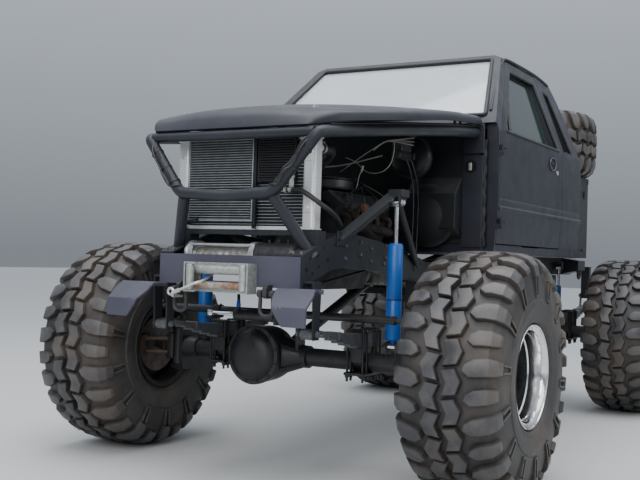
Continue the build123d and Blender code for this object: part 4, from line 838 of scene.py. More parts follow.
def add_housing(bm, x, y, side):
    """Axle centre: round housing, ribbed necks, bolted cover and pinion nose. side 1 points the nose back."""
    axis = facing(at(x, y, AXLE_Z), (0, -side, 0))
    turned(bm, [(-0.112, CORE), (-0.112, 0.07), (-0.1, 0.11), (-0.075, 0.132), (-0.03, 0.14), (0.072, 0.144),
                (0.098, 0.148), (0.11, 0.148), (0.112, 0.143), (0.1135, 0.138), (0.1135, 0.148),
                (0.124, 0.148), (0.127, 0.13), (0.145, 0.118), (0.162, 0.095), (0.169, 0.06), (0.17, CORE)],
           axis, 48)
    for across, up in round_points(12, 0.137, 0.5):
        bolt(bm, axis @ Vector((across, up, 0.124)), (0, -side, 0), 0.013, 0.007, False)
    bolt(bm, axis @ Vector((0.03, 0.05, 0.158)), (0, -side, 0.3), 0.02, 0.012)
    for hand in (-1, 1):
        start = x + hand * 0.075
        rod(bm, (start, y, AXLE_Z), (start + hand * 0.165, y, AXLE_Z), 0.108, 0.052, 40)
        rod(bm, (start + hand * 0.155, y, AXLE_Z), (start + hand * 0.185, y, AXLE_Z), 0.056, sides=32)
        for angle in (0.6, 2.5, 3.9, 5.4):
            rib = Vector((0, cos(angle), sin(angle)))
            near, far = at(start, y, AXLE_Z) + rib * 0.122, at(start + hand * 0.16, y, AXLE_Z) + rib * 0.056
            inner = at(start, y, AXLE_Z) + rib * 0.06
            across = Vector((0, -rib.z, rib.y)) * 0.004
            plate(bm, [near + across, far + across, inner + across], -2 * across)
    nose = [(x, y + side * 0.10, AXLE_Z + 0.01), (x, y + side * 0.155, AXLE_Z + 0.01),
            (x, y + side * 0.185, AXLE_Z + 0.01)]
    rod(bm, nose[0], nose[1], 0.085, 0.054, 32)
    rod(bm, nose[1], nose[2], 0.056, 0.05, 32)
    rod(bm, nose[2], (x, y + side * 0.197, AXLE_Z + 0.01), 0.058, sides=32)


def add_shock_foot(bm, x, y):
    """Ears on the axle for a damper's foot, with their bolt."""
    for start in (x - 0.028, x + 0.02):
        outline = [at(start, y - 0.022, AXLE_Z + 0.03), at(start, y + 0.022, AXLE_Z + 0.03),
                   at(start, y + 0.02, 0.645), at(start, y + 0.01, 0.654), at(start, y - 0.01, 0.654),
                   at(start, y - 0.02, 0.645)]
        plate(bm, outline, (0.008, 0, 0))
    rod(bm, (x - 0.038, y, 0.632), (x + 0.038, y, 0.632), 0.008)
    for side in (-0.028, 0.028):
        bolt(bm, (x + side, y, 0.632), (side, 0, 0), 0.02, 0.011)


def axles():
    """Both live axles, with the front one's forks and the bracket of the steering ram."""
    bm = bmesh.new()
    add_clamp(bm, FRONT_SPRING_X, 0)
    add_shock_foot(bm, FRONT_SHOCK_X, 0)
    for low, high in ((-0.12, -0.098), (0.098, 0.12)):
        rod(bm, (KINGPIN_X, 0, AXLE_Z + low), (KINGPIN_X, 0, AXLE_Z + high), 0.042, sides=40)
        block(bm, (KINGPIN_X - 0.05, -0.042, AXLE_Z + low), (KINGPIN_X, 0.042, AXLE_Z + high), 0.003)
    cheek = [at(KINGPIN_X - 0.062, y, AXLE_Z + z)
             for y, z in ((-0.042, 0.12), (0.042, 0.12), (0.057, 0.06), (0.057, -0.06), (0.042, -0.12),
                          (-0.042, -0.12), (-0.057, -0.06), (-0.057, 0.06))]
    plate(bm, cheek, (0.02, 0, 0))
    rod(bm, (0.58, 0, AXLE_Z), (0.655, 0, AXLE_Z), 0.047, 0.057, 40)
    rod(bm, (0.575, 0, AXLE_Z), (0.585, 0, AXLE_Z), 0.052, sides=40)
    mirrored(bm)
    rod(bm, (-0.67, 0, AXLE_Z), (0.67, 0, AXLE_Z), 0.045, sides=40)
    add_housing(bm, -0.16, 0, 1)
    plate(bm, [(0.046, y, z)
               for y, z in ((-0.052, AXLE_Z + 0.03), (0.02, AXLE_Z + 0.03), (0.012, 0.71), (-0.19, 0.735),
                            (-0.215, 0.778), (-0.262, 0.778), (-0.268, 0.74), (-0.262, 0.712),
                            (-0.06, 0.70))], (0.014, 0, 0))
    piece("front_axle", bm, AXLE_PAINT, ("front_axle",), 0.0012)

    bm = bmesh.new()
    add_clamp(bm, REAR_SPRING_X, WHEELBASE)
    add_shock_foot(bm, REAR_SHOCK_X, WHEELBASE)
    inner = REAR_WHEEL_X - 0.155
    rod(bm, (inner - 0.05, WHEELBASE, AXLE_Z), (inner + 0.012, WHEELBASE, AXLE_Z), 0.05, 0.06, 40)
    rod(bm, (inner + 0.012, WHEELBASE, AXLE_Z), (inner + 0.055, WHEELBASE, AXLE_Z), 0.135, 0.145, 48)
    rod(bm, (inner, WHEELBASE, AXLE_Z), (REAR_WHEEL_X - 0.0975, WHEELBASE, AXLE_Z), 0.0235, sides=24)
    mirrored(bm)
    rod(bm, (0.02 - inner, WHEELBASE, AXLE_Z), (inner - 0.02, WHEELBASE, AXLE_Z), 0.045, sides=40)
    add_housing(bm, 0, WHEELBASE, -1)
    piece("rear_axle", bm, AXLE_PAINT, ("rear_axle",), 0.0012)


SHOCKS = (
    # name, x, y, foot height, head height, body heights, radius
    ("front", FRONT_SHOCK_X, 0.0, 0.632, 1.312, (0.658, 1.120), 0.037),
    ("rear", REAR_SHOCK_X, WHEELBASE, 0.632, 1.030, (0.658, 0.890), 0.022),
)


def shocks():
    """Gas dampers: blue body with its lower band, polished rod and rubber eyes."""
    for name, x, y, foot, head, body, r in SHOCKS:
        bm = bmesh.new()
        up = Matrix.Translation(at(x, y, 0))
        low, high = body
        split = low + (high - low) * 0.42
        turned(bm, [(low, CORE), (low, r * 0.8), (low + 0.006, r), (split - 0.006, r),
                    (split - 0.004, r * 0.97), (split + 0.004, r * 0.97), (split + 0.006, r * 0.985),
                    (high - 0.012, r * 0.985), (high - 0.002, r * 0.8), (high, 0.014), (high, CORE)], up, 40)
        rod(bm, (x, y, foot + 0.012), (x, y, low + 0.004), 0.012)
        mirrored(bm)
        piece(f"{name}_shocks", bm, SHOCK_BLUE, (f"{name}_shocks",))
        bm = bmesh.new()
        rod(bm, (x, y, high - 0.001), (x, y, head - 0.012), 0.0105)
        for z in (foot, head):
            collar(bm, 0.018, 0.011, 0.019, along_x(x, y, z), 28)
        mirrored(bm)
        piece(f"{name}_shock_rods", bm, CHROME)
        bm = bmesh.new()
        turned(bm, [(split - 0.004, r * 0.96), (split - 0.004, r * 0.978), (split + 0.004, r * 0.978),
                    (split + 0.004, r * 0.96)], up, 40, True)
        for z in (foot, head):
            collar(bm, 0.02, 0.0085, 0.0135, along_x(x, y, z), 24)
        mirrored(bm)
        piece(f"{name}_shock_bands", bm, SHOCK_BAND)


def shock_towers():
    """Struts from the rails to each damper's top bolt."""
    bm = bmesh.new()
    x = FRONT_SHOCK_X
    rod(bm, (0.372, -0.26, 1.11), (0.53, 0.005, 1.345), 0.03, sides=4)
    rod(bm, (0.385, 0.62, 1.005), (0.53, 0.03, 1.35), 0.019)
    for start in (x - 0.028, x + 0.02):
        outline = [at(start, y, z)
                   for y, z in ((-0.022, 1.292), (0.022, 1.292), (0.056, 1.34), (0.056, 1.374),
                                (-0.02, 1.374), (-0.03, 1.335))]
        plate(bm, outline, (0.008, 0, 0))
    block(bm, (x - 0.04, -0.022, 1.337), (x + 0.04, 0.058, 1.375), 0.006)
    for y, z in ((-0.245, 1.13), (0.6, 1.02)):
        block(bm, (0.388, y - 0.04, z - 0.035), (0.396, y + 0.04, z + 0.035), 0.003)
        for dy in (-0.026, 0.026):
            bolt(bm, (0.396, y + dy, z), (1, 0, 0), 0.014, 0.008)
    mirrored(bm)
    piece("shock_towers", bm, FRAME_PAINT, ("shock_towers",), 0.0012)
    bm = bmesh.new()
    rod(bm, (x - 0.036, 0, 1.312), (x + 0.036, 0, 1.312), 0.008)
    for side in (-0.028, 0.028):
        bolt(bm, (x + side, 0, 1.312), (side, 0, 0), 0.022, 0.012)
    mirrored(bm)
    piece("shock_bolts", bm, BRIGHT_BOLT)


# Steering

ARM_Y = -0.175
TIE_Z = 0.765


def knuckles():
    """Forged knuckles: kingpin barrel, webbed flange, spindle and the bolted, raised arm."""
    for side, name in SIDES:
        bm = bmesh.new()
        x = side * KINGPIN_X
        base = AXLE_Z

        def spot(dx, y, z):
            return at(x + side * dx, y, base + z)

        rod(bm, spot(0, 0, -0.097), spot(0, 0, 0.097), 0.034, sides=40)
        rod(bm, spot(0, 0, -0.119), spot(0, 0, 0.143), 0.0195)
        rod(bm, spot(0, 0, -0.126), spot(0, 0, -0.119), 0.028)
        block(bm, *corners_of(spot(0.006, -0.052, -0.07), spot(0.05, 0.052, 0.07)), 0.012, 3)
        rod(bm, spot(0.045, 0, 0), spot(0.062, 0, 0), 0.068, 0.066, 40)
        rod(bm, spot(0.06, 0, 0), spot(0.11, 0, 0), 0.045, 0.036, 32)
        rod(bm, spot(0.1, 0, 0), spot(0.205, 0, 0), 0.0235)
        for y, z in round_points(6, 0.054, 0.5):
            bolt(bm, spot(0.061, y, z), (side, 0, 0), 0.014, 0.01)
        outline = [spot(dx, y, 0.125)
                   for dx, y in ((-0.03, 0.02), (0, 0.034), (0.03, 0.02), (0.03, -0.04), (0.024, -0.15),
                                 (0.02, -0.19), (0, -0.2), (-0.02, -0.19), (-0.024, -0.15), (-0.03, -0.04))]
        plate(bm, outline, (0, 0, 0.018))
        for dx, y in ((-0.018, 0.012), (0.018, 0.012), (-0.018, -0.045), (0.018, -0.045)):
            bolt(bm, spot(dx, y, 0.143), (0, 0, 1), 0.014, 0.011)
        rod(bm, (x, ARM_Y, base + 0.14), (x, ARM_Y, TIE_Z + 0.028), 0.0095)
        piece(f"knuckle_{name}", bm, KNUCKLE_IRON, (f"knuckle_{name}",), 0.001,
              body=f"knuckle_{name}")


def tie_rod():
    """Tie rod with its jam nuts, rod ends and the clamped lug of the ram."""
    bm = bmesh.new()
    rod(bm, (-0.635, ARM_Y, TIE_Z), (0.635, ARM_Y, TIE_Z), 0.019, sides=32)
    for side in (-1, 1):
        rod(bm, (side * 0.63, ARM_Y, TIE_Z), (side * 0.65, ARM_Y, TIE_Z), 0.021, sides=6)
        rod(bm, (side * 0.65, ARM_Y, TIE_Z), (side * 0.70, ARM_Y, TIE_Z), 0.0125)
        turned(bm, [(-0.021, 0.0105), (-0.021, 0.02), (-0.014, 0.0235), (0.014, 0.0235), (0.021, 0.02),
                    (0.021, 0.0105)], Matrix.Translation(at(side * KINGPIN_X, ARM_Y, TIE_Z)), 32, True)
    x = -0.34
    block(bm, (x - 0.021, ARM_Y - 0.024, 0.724), (x + 0.021, ARM_Y + 0.024, TIE_Z + 0.0235), 0.006)
    block(bm, (x - 0.02, -0.258, 0.7225), (x + 0.02, ARM_Y, 0.7375), 0.004)
    for dx in (-0.012, 0.012):
        bolt(bm, (x + dx, ARM_Y + 0.004, TIE_Z + 0.0225), (0, 0, 1), 0.009, 0.006)
    piece("tie_rod", bm, AXLE_PAINT, ("tie_rod",), 0.0008, body="tie_rod")
    bm = bmesh.new()
    for side in (-1, 1):
        turned(bm, [(0.0215, CORE), (0.0305, 0.008), (0.031, 0.0165), (0.0245, 0.0175), (0.0215, 0.0155)],
               Matrix.Translation(at(side * KINGPIN_X, ARM_Y, TIE_Z)), 24)
    piece("tie_rod_caps", bm, GREASE, body="tie_rod")


def steering_ram():
    """Hydraulic ram across the axle with its glands, ports and polished rod."""
    bm = bmesh.new()
    y, z = -0.24, 0.752
    # The bore stays clear of the rod at the end of its stroke
    turned(bm, [(-0.19, 0.0118), (-0.19, 0.024), (-0.184, 0.028), (-0.16, 0.028), (-0.158, 0.0255),
                (0.02, 0.0255), (0.022, 0.028), (0.043, 0.028), (0.046, 0.022), (0.046, CORE), (0.038, CORE),
                (0.038, 0.0118)], along_x(0, y, z), 36, True)
    for x in (-0.172, 0.03):
        rod(bm, (x, y, z + 0.022), (x, y, z + 0.04), 0.009, sides=6)
    piece("steering_ram", bm, AXLE_PAINT, ("steering_ram",), 0.0006)
    bm = bmesh.new()
    rod(bm, (-0.33, y, z), (-0.066, y, z), 0.009)
    turned(bm, [(-0.0135, 0.006), (-0.0135, 0.0165), (-0.01, 0.018), (0.01, 0.018), (0.0135, 0.0165),
                (0.0135, 0.006)], Matrix.Translation(at(-0.34, y, z)), 32, True)
    rod(bm, (-0.34, y, z - 0.0135), (-0.34, y, z + 0.0135), 0.0055)
    piece("ram_rod", bm, CHROME, ("steering_ram_rod",), 0.0005, body="ram_rod")
    for name, x, end in (("near", 0.03, (0.22, 0.18, 0.96)), ("far", -0.172, (-0.2, 0.2, 0.93))):
        bm = bmesh.new()
        pipe(bm, [(x, y, z + 0.045), (x, y, z + 0.10), (x * 1.6, y + 0.14, z + 0.12), end,
                  (end[0], end[1] + 0.15, end[2] + 0.02)], 0.0075, 3)
        piece(f"ram_hose_{name}", bm, HOSE_RUBBER)
        bm = bmesh.new()
        rod(bm, (x, y, z + 0.038), (x, y, z + 0.052), 0.011, sides=6)
        rod(bm, (x, y, z + 0.05), (x, y, z + 0.07), 0.0095, 0.0085)
        piece(f"ram_fitting_{name}", bm, FITTING_BLUE)


# Frame, bumper and winch

HORN_HOLES = ((-0.545, 0.985, 0.011), (-0.515, 1.035, 0.006), (-0.495, 0.97, 0.006), (-0.452, 1.055, 0.012),
              (-0.44, 1.0, 0.006), (-0.40, 1.085, 0.006), (-0.36, 1.03, 0.009), (-0.30, 1.10, 0.006))


def frame_rails():
    """Rails in their CAD shape, with painted shade in the punched holes, and body bolts."""
    for _, name in SIDES:
        dressed(f"frame_rail_{name}", FRAME_PAINT)
    # Dark dished discs at the punched holes: painted shade inside the holes.
    bm = bmesh.new()
    for y, z, r in HORN_HOLES:
        turned(bm, [(0.3899, CORE), (0.3905, r * 0.92), (0.3915, r), (0.39, r * 1.12)],
               along_x(0, y, z), 20)
    mirrored(bm)
    piece("punched_hole_shade", bm, SHADOW_BLACK)
    bm = bmesh.new()
    for y, z in ((-0.20, 1.07), (-0.05, 1.09), (0.06, 1.06), (0.22, 1.08), (0.9, 0.97), (1.7, 0.97),
                 (2.4, 0.98), (2.9, 1.03), (3.3, 1.03)):
        for dz in (-0.03, 0.03):
            bolt(bm, (0.39, y, z + dz), (1, 0, 0), 0.016, 0.009)
    for y in (0.2, 0.29):
        bolt(bm, (0.39, y, 1.02), (1, 0, 0), 0.018, 0.01)
    for x, y in ((-0.37, -0.56), (-0.33, -0.56)):
        bolt(bm, (-x, y, 1.055), (0, 0, 1), 0.014, 0.008)
    mirrored(bm)
    piece("frame_bolts", bm, BOLT_STEEL)


def crossmembers():
    """Round tubes and the radiator bridge, with flanges at the tubes' ends."""
    bm = cad_shape("crossmembers")
    for y, z, r in ((2.25, 0.965, 0.034), (3.06, 1.04, 0.034), (3.5, 1.04, 0.034)):
        rod(bm, (-0.383, y, z), (0.383, y, z), r + 0.0006, sides=40)
        for side in (-1, 1):
            rod(bm, (side * 0.373, y, z), (side * 0.3825, y, z), r + 0.016, sides=32)
    piece("crossmembers", bm, FRAME_PAINT, ("crossmembers",), 0.0012, turn_out=False)


def guard():
    """Bent tube round the nose with its cross tube, legs and feet, and the wires tied to it."""
    bm = bmesh.new()
    left = [(0.672, 0.705, 1.7285), (0.668, 0.396, 1.698), (0.592, -0.09, 1.642), (0.462, -0.60, 1.578),
            (0.255, -0.62, 1.320)]
    route = [at(*point) for point in left + [(0, -0.63, 1.302)] + [(-x, y, z) for x, y, z in reversed(left)]]
    pipe(bm, route, 0.0265, 7, 0.062)
    rod(bm, (-0.44, -0.594, 1.58), (0.44, -0.594, 1.58), 0.0225, sides=32)
    for side in (-1, 1):
        rod(bm, (side * 0.235, -0.612, 1.322), (side * 0.3665, -0.476, 1.052), 0.0265, sides=32)
        rod(bm, (side * 0.372, -0.47, 1.042), (side * 0.366, -0.4765, 1.054), 0.036, 0.029, 32)
        rod(bm, (side * 0.2415, -0.6055, 1.309), (side * 0.2445, -0.602, 1.303), 0.0305, 0.0275, 32)
        block(bm, (side * 0.672 - 0.045, 0.693, 1.68), (side * 0.672 + 0.045, 0.6995, 1.775), 0.003)
        for dx in (-0.032, 0.032):
            for dz in (-0.036, 0.036):
                bolt(bm, (side * 0.672 + dx, 0.693, 1.728 + dz), (0, -1, 0), 0.014, 0.009)
    piece("tube_guard", bm, GUARD_PAINT, ("tube_guard",), corner=50)
    for n, side in enumerate((-1, 1)):
        bm = bmesh.new()
        run = [(0.43, -0.606, 1.553), (0.405, -0.652, 1.515), (0.362, -0.63, 1.43), (0.33, -0.665, 1.41),
               (0.30, -0.644, 1.345), (0.268, -0.648, 1.352), (0.245, -0.628, 1.352)]
        pipe(bm, [(side * x, y - 0.0054, z) for x, y, z in run], 0.0045, 3)
        loose = [(side * (x - 0.012), y + 0.01, z + 0.016) for x, y, z in run[:5]]
        pipe(bm, loose + [(side * 0.29, -0.615, 1.39)], 0.0032, 3)
        piece(f"guard_wires_{n + 1}", bm, HOSE_RUBBER)
        bm = bmesh.new()
        for x, y, z in ((0.405, -0.606, 1.505), (0.345, -0.612, 1.43), (0.29, -0.617, 1.365)):
            collar(bm, 0.004, 0.0272, 0.0295, facing(at(side * x, y, z), (side * 0.207, 0.02, 0.258)), 32)
        piece(f"guard_ties_{n + 1}", bm, HOSE_RUBBER)


def bumper():
    """Plate bumper with its bolts, and the folded wings at its ends."""
    dressed("winch_bumper", BUMPER_PAINT, 0.0018)
    # The fold of each wing's sheet from the bumper down its front: place along the truck, height
    fold = [(-0.592, 0.889), (-0.684, 0.897), (-0.7675, 0.825), (-0.7695, 0.750)]
    runs = [0.0]
    for (y0, z0), (y1, z1) in zip(fold, fold[1:]):
        runs.append(runs[-1] + Vector((y1 - y0, z1 - z0)).length)
    bm = bmesh.new()
    columns, rows = 26, 18
    bmesh.ops.create_grid(bm, x_segments=columns, y_segments=rows, size=1)
    for vert in bm.verts:
        across, down = (vert.co.x + 1) / 2, (vert.co.y + 1) / 2
        # The inner edge is hollowed: the sheet gets shorter towards the middle of the truck
        reach = runs[-1] * (0.36 + 0.64 * min(1.0, across / 0.42) ** 0.55)
        run = reach * down
        n = 1
        while n < 3 and run > runs[n]:
            n += 1
        share = (run - runs[n - 1]) / (runs[n] - runs[n - 1])
        y, z = Vector(fold[n - 1]).lerp(Vector(fold[n]), share)
        outer = 0.530 - 0.05 * max(0.0, 1 - run / (0.5 * runs[-1])) ** 1.5
        vert.co = at(0.332 + (outer - 0.332) * across, y, z)
    bmesh.ops.recalc_face_normals(bm, faces=bm.faces)
    bmesh.ops.solidify(bm, geom=bm.faces[:], thickness=0.010)
    block(bm, (0.34, -0.5915, 0.884), (0.50, -0.579, 0.904), 0.001)
    mirrored(bm)
    piece("bumper_wings", bm, BUMPER_PAINT, ("bumper_wings",), 0.0015, 26)
    bm = bmesh.new()
    for x in (-0.29, 0.17):
        for y in (-0.50, -0.42):
            bolt(bm, (x, y, 0.9655), (0, 0, 1), 0.016, 0.01)
    piece("bumper_bolts", bm, BOLT_STEEL)


def winch():
    """Electric winch: smooth dark motor, gear can, end plates with tie bars, terminals and the wound drum."""
    y, z = -0.46, 1.04
    bm = bmesh.new()
    axis = along_x(0, y, z)
    turned(bm, [(0.088, CORE), (0.088, 0.058), (0.094, 0.062), (0.118, 0.062), (0.12, 0.0595), (0.27, 0.0595),
                (0.272, 0.0618), (0.29, 0.0615), (0.302, 0.054), (0.306, 0.044), (0.306, CORE)], axis, 56)
    for angle in (0.4, 1.97, 3.54, 5.1):
        bolt(bm, (0.3045, y + 0.04 * cos(angle), z + 0.04 * sin(angle)), (1, 0, 0), 0.009, 0.0015, False)
    piece("winch_motor", bm, MOTOR_DARK)
    bm = bmesh.new()
    gears = [(-0.278, CORE), (-0.278, 0.062), (-0.283, 0.066), (-0.292, 0.066), (-0.296, 0.060),
             (-0.30, 0.060), (-0.305, 0.046), (-0.306, 0.02), (-0.306, CORE)]
    turned(bm, gears, axis, 48)
    for low, high in ((0.064, 0.09), (-0.28, -0.254)):
        outline = [at(low, y + dy, zz)
                   for dy, zz in ((-0.06, 0.966), (0.06, 0.966), (0.06, 1.06), (0.045, 1.095), (0.02, 1.103),
                                  (-0.02, 1.103), (-0.045, 1.095), (-0.06, 1.06))]
        plate(bm, outline, (high - low, 0, 0))
        for dy in (-0.046, 0.046):
            bolt(bm, (low + 0.013, y + dy * 1.02, 1.078), (0, dy, 0.3), 0.012, 0.006, False)
    for dy in (-0.048, 0.048):
        rod(bm, (-0.262, y + dy, 1.085), (0.072, y + dy, 1.085), 0.0085)
    piece("winch_body", bm, WINCH_SILVER, ("winch",), 0.0008)
    bm = bmesh.new()
    drum = along_x(0, y, 1.035)
    turned(bm, [(-0.2535, CORE), (-0.2535, 0.0415), (-0.247, 0.0415), (-0.245, 0.033), (0.055, 0.033),
                (0.057, 0.0415), (0.0635, 0.0415), (0.0635, CORE)], drum, 40)
    piece("winch_drum", bm, WINCH_SILVER, ("winch_drum",))
    bm = bmesh.new()
    run = []
    turns = 34
    for n in range(turns * 10 + 1):
        angle = 2 * pi * n / 10
        run.append(drum @ Vector((0.0375 * cos(angle), 0.0375 * sin(angle), -0.24 + 0.29 * n / (turns * 10))))
    pipe(bm, run, 0.0041, 1)
    piece("wound_rope", bm, ROPE_STEEL)
    bm = bmesh.new()
    for x in (0.12, 0.17, 0.22):
        rod(bm, (x, y + 0.03, z + 0.05), (x, y + 0.03, z + 0.074), 0.007, sides=6)
    block(bm, (0.105, y + 0.012, z + 0.048), (0.235, y + 0.048, z + 0.060), 0.004)
    piece("winch_terminals", bm, HOSE_RUBBER)


def fairlead():
    """Roller fairlead: galvanised frame with its bolts, and four rollers with end collars."""
    bm = cad_shape("fairlead")
    for x in (-0.17, 0.148):
        for z in (0.885, 0.989):
            bolt(bm, (x, -0.596, z), (0, -1, 0), 0.014, 0.009)
    piece("fairlead_frame", bm, ZINC, ("fairlead",), 0.0012, turn_out=False)
    for z, name, thick, finish in ((0.902, "lower", 0.016, RUSTY_ZINC), (0.972, "upper", 0.0215, ZINC)):
        bm = bmesh.new()
        axis = along_x(0, -0.614, z)
        turned(bm, [(-0.1775, CORE), (-0.1775, thick - 0.003), (-0.174, thick), (0.152, thick),
                    (0.1555, thick - 0.003), (0.1555, CORE)], axis, 36)
        piece(f"fairlead_{name}_roller", bm, finish)
    bm = bmesh.new()
    for x in (-0.156, 0.134):
        up = Matrix.Translation(at(x, -0.653, 0))
        turned(bm, [(0.879, CORE), (0.879, 0.016), (0.882, 0.0185), (0.992, 0.0185), (0.995, 0.016),
                    (0.995, CORE)], up, 36)
    piece("fairlead_rollers", bm, ZINC, ("fairlead_rollers",))


def shackles():
    """Bow shackles on their lugs, with pins and eyes."""
    bm = bmesh.new()
    for x in (-0.234, 0.238):
        y = -0.62
        outline = [at(x - 0.01, yy, z)
                   for yy, z in ((-0.59, 0.914), (-0.625, 0.914), (-0.642, 0.90), (-0.642, 0.868),
                                 (-0.63, 0.855), (-0.59, 0.855))]
        plate(bm, outline, (0.02, 0, 0))
        rod(bm, (x - 0.044, y, 0.876), (x + 0.05, y, 0.876), 0.009)
        rod(bm, (x + 0.044, y, 0.876), (x + 0.05, y, 0.876), 0.014, 0.014)
        pipe(bm, [(x - 0.032, y, 0.885), (x - 0.032, y, 0.84), (x - 0.034, y, 0.812), (x - 0.03, y, 0.786),
                  (x, y, 0.777), (x + 0.03, y, 0.786), (x + 0.034, y, 0.812), (x + 0.032, y, 0.84),
                  (x + 0.032, y, 0.885)], 0.0088, 5)
        for side in (-0.032, 0.032):
            rod(bm, (x + side - 0.0105, y, 0.876), (x + side + 0.0105, y, 0.876), 0.0165)
    piece("tow_shackles", bm, SHACKLE_STEEL, ("tow_shackles",))


def cable():
    """Wire rope from the drum through the rollers to its hook: six twisted strands."""
    route = [(-0.095, -0.475, 0.992), (-0.095, -0.614, 0.9245), (-0.107, -0.684, 0.9105),
             (-0.184, -0.69, 0.875), (-0.234, -0.676, 0.861)]
    line = [vert.co.copy() for vert in curve_mesh([at(*point) for point in route], 20).vertices]
    bm = bmesh.new()
    for strand in range(6):
        run = []
        length = 0.0
        for n, spot in enumerate(line):
            ahead = (line[min(n + 1, len(line) - 1)] - line[max(n - 1, 0)]).normalized()
            length += (spot - line[max(n - 1, 0)]).length
            side = ahead.cross(Vector((0, 0, 1))).normalized()
            angle = 2 * pi * (strand / 6 + length / 0.045)
            run.append(spot + 0.0042 * (cos(angle) * side + sin(angle) * side.cross(ahead)))
        pipe(bm, run, 0.0023, 1)
    x, z = -0.234, 0.847
    pipe(bm, [(x, -0.676, 0.868), (x, -0.678, 0.852), (x, -0.674, 0.846), (x, -0.66, z), (x, -0.609, z)],
         0.0066, 4)
    rod(bm, (x + 0.046, -0.6885, 0.875), (x + 0.018, -0.681, 0.867), 0.0095)
    pipe(bm, [(x + 0.012, -0.684, 0.868), (x + 0.004, -0.684, 0.88), (x - 0.016, -0.682, 0.882),
              (x - 0.026, -0.68, 0.866), (x - 0.016, -0.68, 0.852), (x + 0.004, -0.682, 0.855)], 0.006, 4,
         None, True)
    piece("winch_rope", bm, CABLE_STEEL, ("winch_cable",))


# Radiator, engine bay and drive line

CORE_Y = -0.42


def radiator():
    """Aluminium radiator: tubes and fins, rounded end tanks with weld beads, filler cap and hose necks."""
    bm = bmesh.new()
    for side, inner in ((-1, -0.338), (1, 0.300)):
        x = sorted((inner, inner + side * 0.064))
        block(bm, (x[0], CORE_Y - 0.037, 1.158), (x[1], CORE_Y + 0.037, 1.587), 0.016, 4)
        for z in (1.166, 1.579):
            block(bm, (x[0] - 0.0015, CORE_Y - 0.0385, z - 0.004),
                  (x[1] + 0.0015, CORE_Y + 0.0385, z + 0.004), 0.003)
        for z in (1.26, 1.49):
            block(bm, (x[0] + 0.014, CORE_Y - 0.0425, z - 0.02), (x[1] - 0.014, CORE_Y - 0.036, z + 0.02),
                  0.003)
            bolt(bm, (sum(x) / 2, CORE_Y - 0.0425, z), (0, -1, 0), 0.012, 0.006)
    for z in (1.168, 1.577):
        block(bm, (-0.338, CORE_Y - 0.026, z - 0.009), (0.3, CORE_Y + 0.026, z + 0.009), 0.002)
    rod(bm, (0.33, CORE_Y, 1.583), (0.33, CORE_Y, 1.597), 0.024, sides=32)
    turned(bm, [(1.596, CORE), (1.596, 0.029), (1.604, 0.031), (1.607, 0.027), (1.609, CORE)],
           Matrix.Translation(at(0.33, CORE_Y, 0)), 10)
    rod(bm, (0.349, -0.40, 1.534), (0.349, -0.345, 1.534), 0.021, sides=32)
    rod(bm, (-0.37, -0.40, 1.22), (-0.37, -0.345, 1.22), 0.021, sides=32)
    piece("radiator_tanks", bm, RADIATOR_METAL, ("radiator",), 0.0008)
    bm = bmesh.new()
    rows = 26
    for n in range(rows):
        z = 1.178 + (1.568 - 1.178) * (n + 0.5) / rows
        block(bm, (-0.338, CORE_Y - 0.0255, z - 0.0014), (0.3, CORE_Y + 0.0255, z + 0.0014))
    piece("radiator_tubes", bm, FIN_METAL, corner=30)
    bm = bmesh.new()
    block(bm, (-0.338, CORE_Y - 0.0215, 1.177), (0.3, CORE_Y + 0.0215, 1.568))
    piece("radiator_fins", bm, FIN_ZIGZAG, corner=30)


def oil_coolers():
    """Stacked-plate cooler before the core, the small dark one beside it and the strap between them."""
    bm = bmesh.new()
    front = CORE_Y - 0.05
    for n in range(33):
        z = 1.206 + 0.0115 * n
        block(bm, (-0.318, front, z - 0.0019), (0.034, front + 0.022, z + 0.0019), 0.0006, 1)
    for x in (-0.329, 0.036):
        block(bm, (x - 0.001, front + 0.001, 1.2), (x + 0.009, front + 0.023, 1.58), 0.003)
    for z in (1.2, 1.578):
        block(bm, (-0.33, front + 0.0015, z - 0.0035), (0.045, front + 0.0235, z + 0.0035), 0.001)
    piece("cooler_plates", bm, FIN_METAL, ("oil_cooler",), 0.0004)
    bm = bmesh.new()
    block(bm, (-0.322, front + 0.006, 1.203), (0.038, front + 0.021, 1.576))
    piece("cooler_fins", bm, FIN_ZIGZAG, corner=30)
    bm = bmesh.new()
    block(bm, (0.046, front - 0.004, 1.163), (0.064, front + 0.01, 1.588), 0.002)
    for z in (1.18, 1.36, 1.57):
        bolt(bm, (0.055, front - 0.004, z), (0, -1, 0), 0.01, 0.006)
    for n in range(17):
        z = 1.391 + 0.0113 * n
        block(bm, (0.072, front + 0.002, z - 0.0042), (0.262, front + 0.021, z + 0.0042), 0.001, 1)
    for x in (0.067, 0.262):
        block(bm, (x, front, 1.383), (x + 0.009, front + 0.0225, 1.578), 0.003)
    for z in (1.383, 1.576):
        block(bm, (0.067, front, z - 0.004), (0.271, front + 0.0225, z + 0.004), 0.001)
    piece("small_cooler", bm, FIN_DARK, soften=0.0004)


def add_fitting(bm, start, end):
    """Hose-end fitting: hexagon, collar and socket."""
    start, end = Vector(start), Vector(end)
    way = (end - start).normalized()
    rod(bm, start, start + way * 0.014, 0.0135, sides=6)
    rod(bm, start + way * 0.013, start + way * 0.026, 0.0105)
    rod(bm, start + way * 0.025, end, 0.0125, 0.0118)


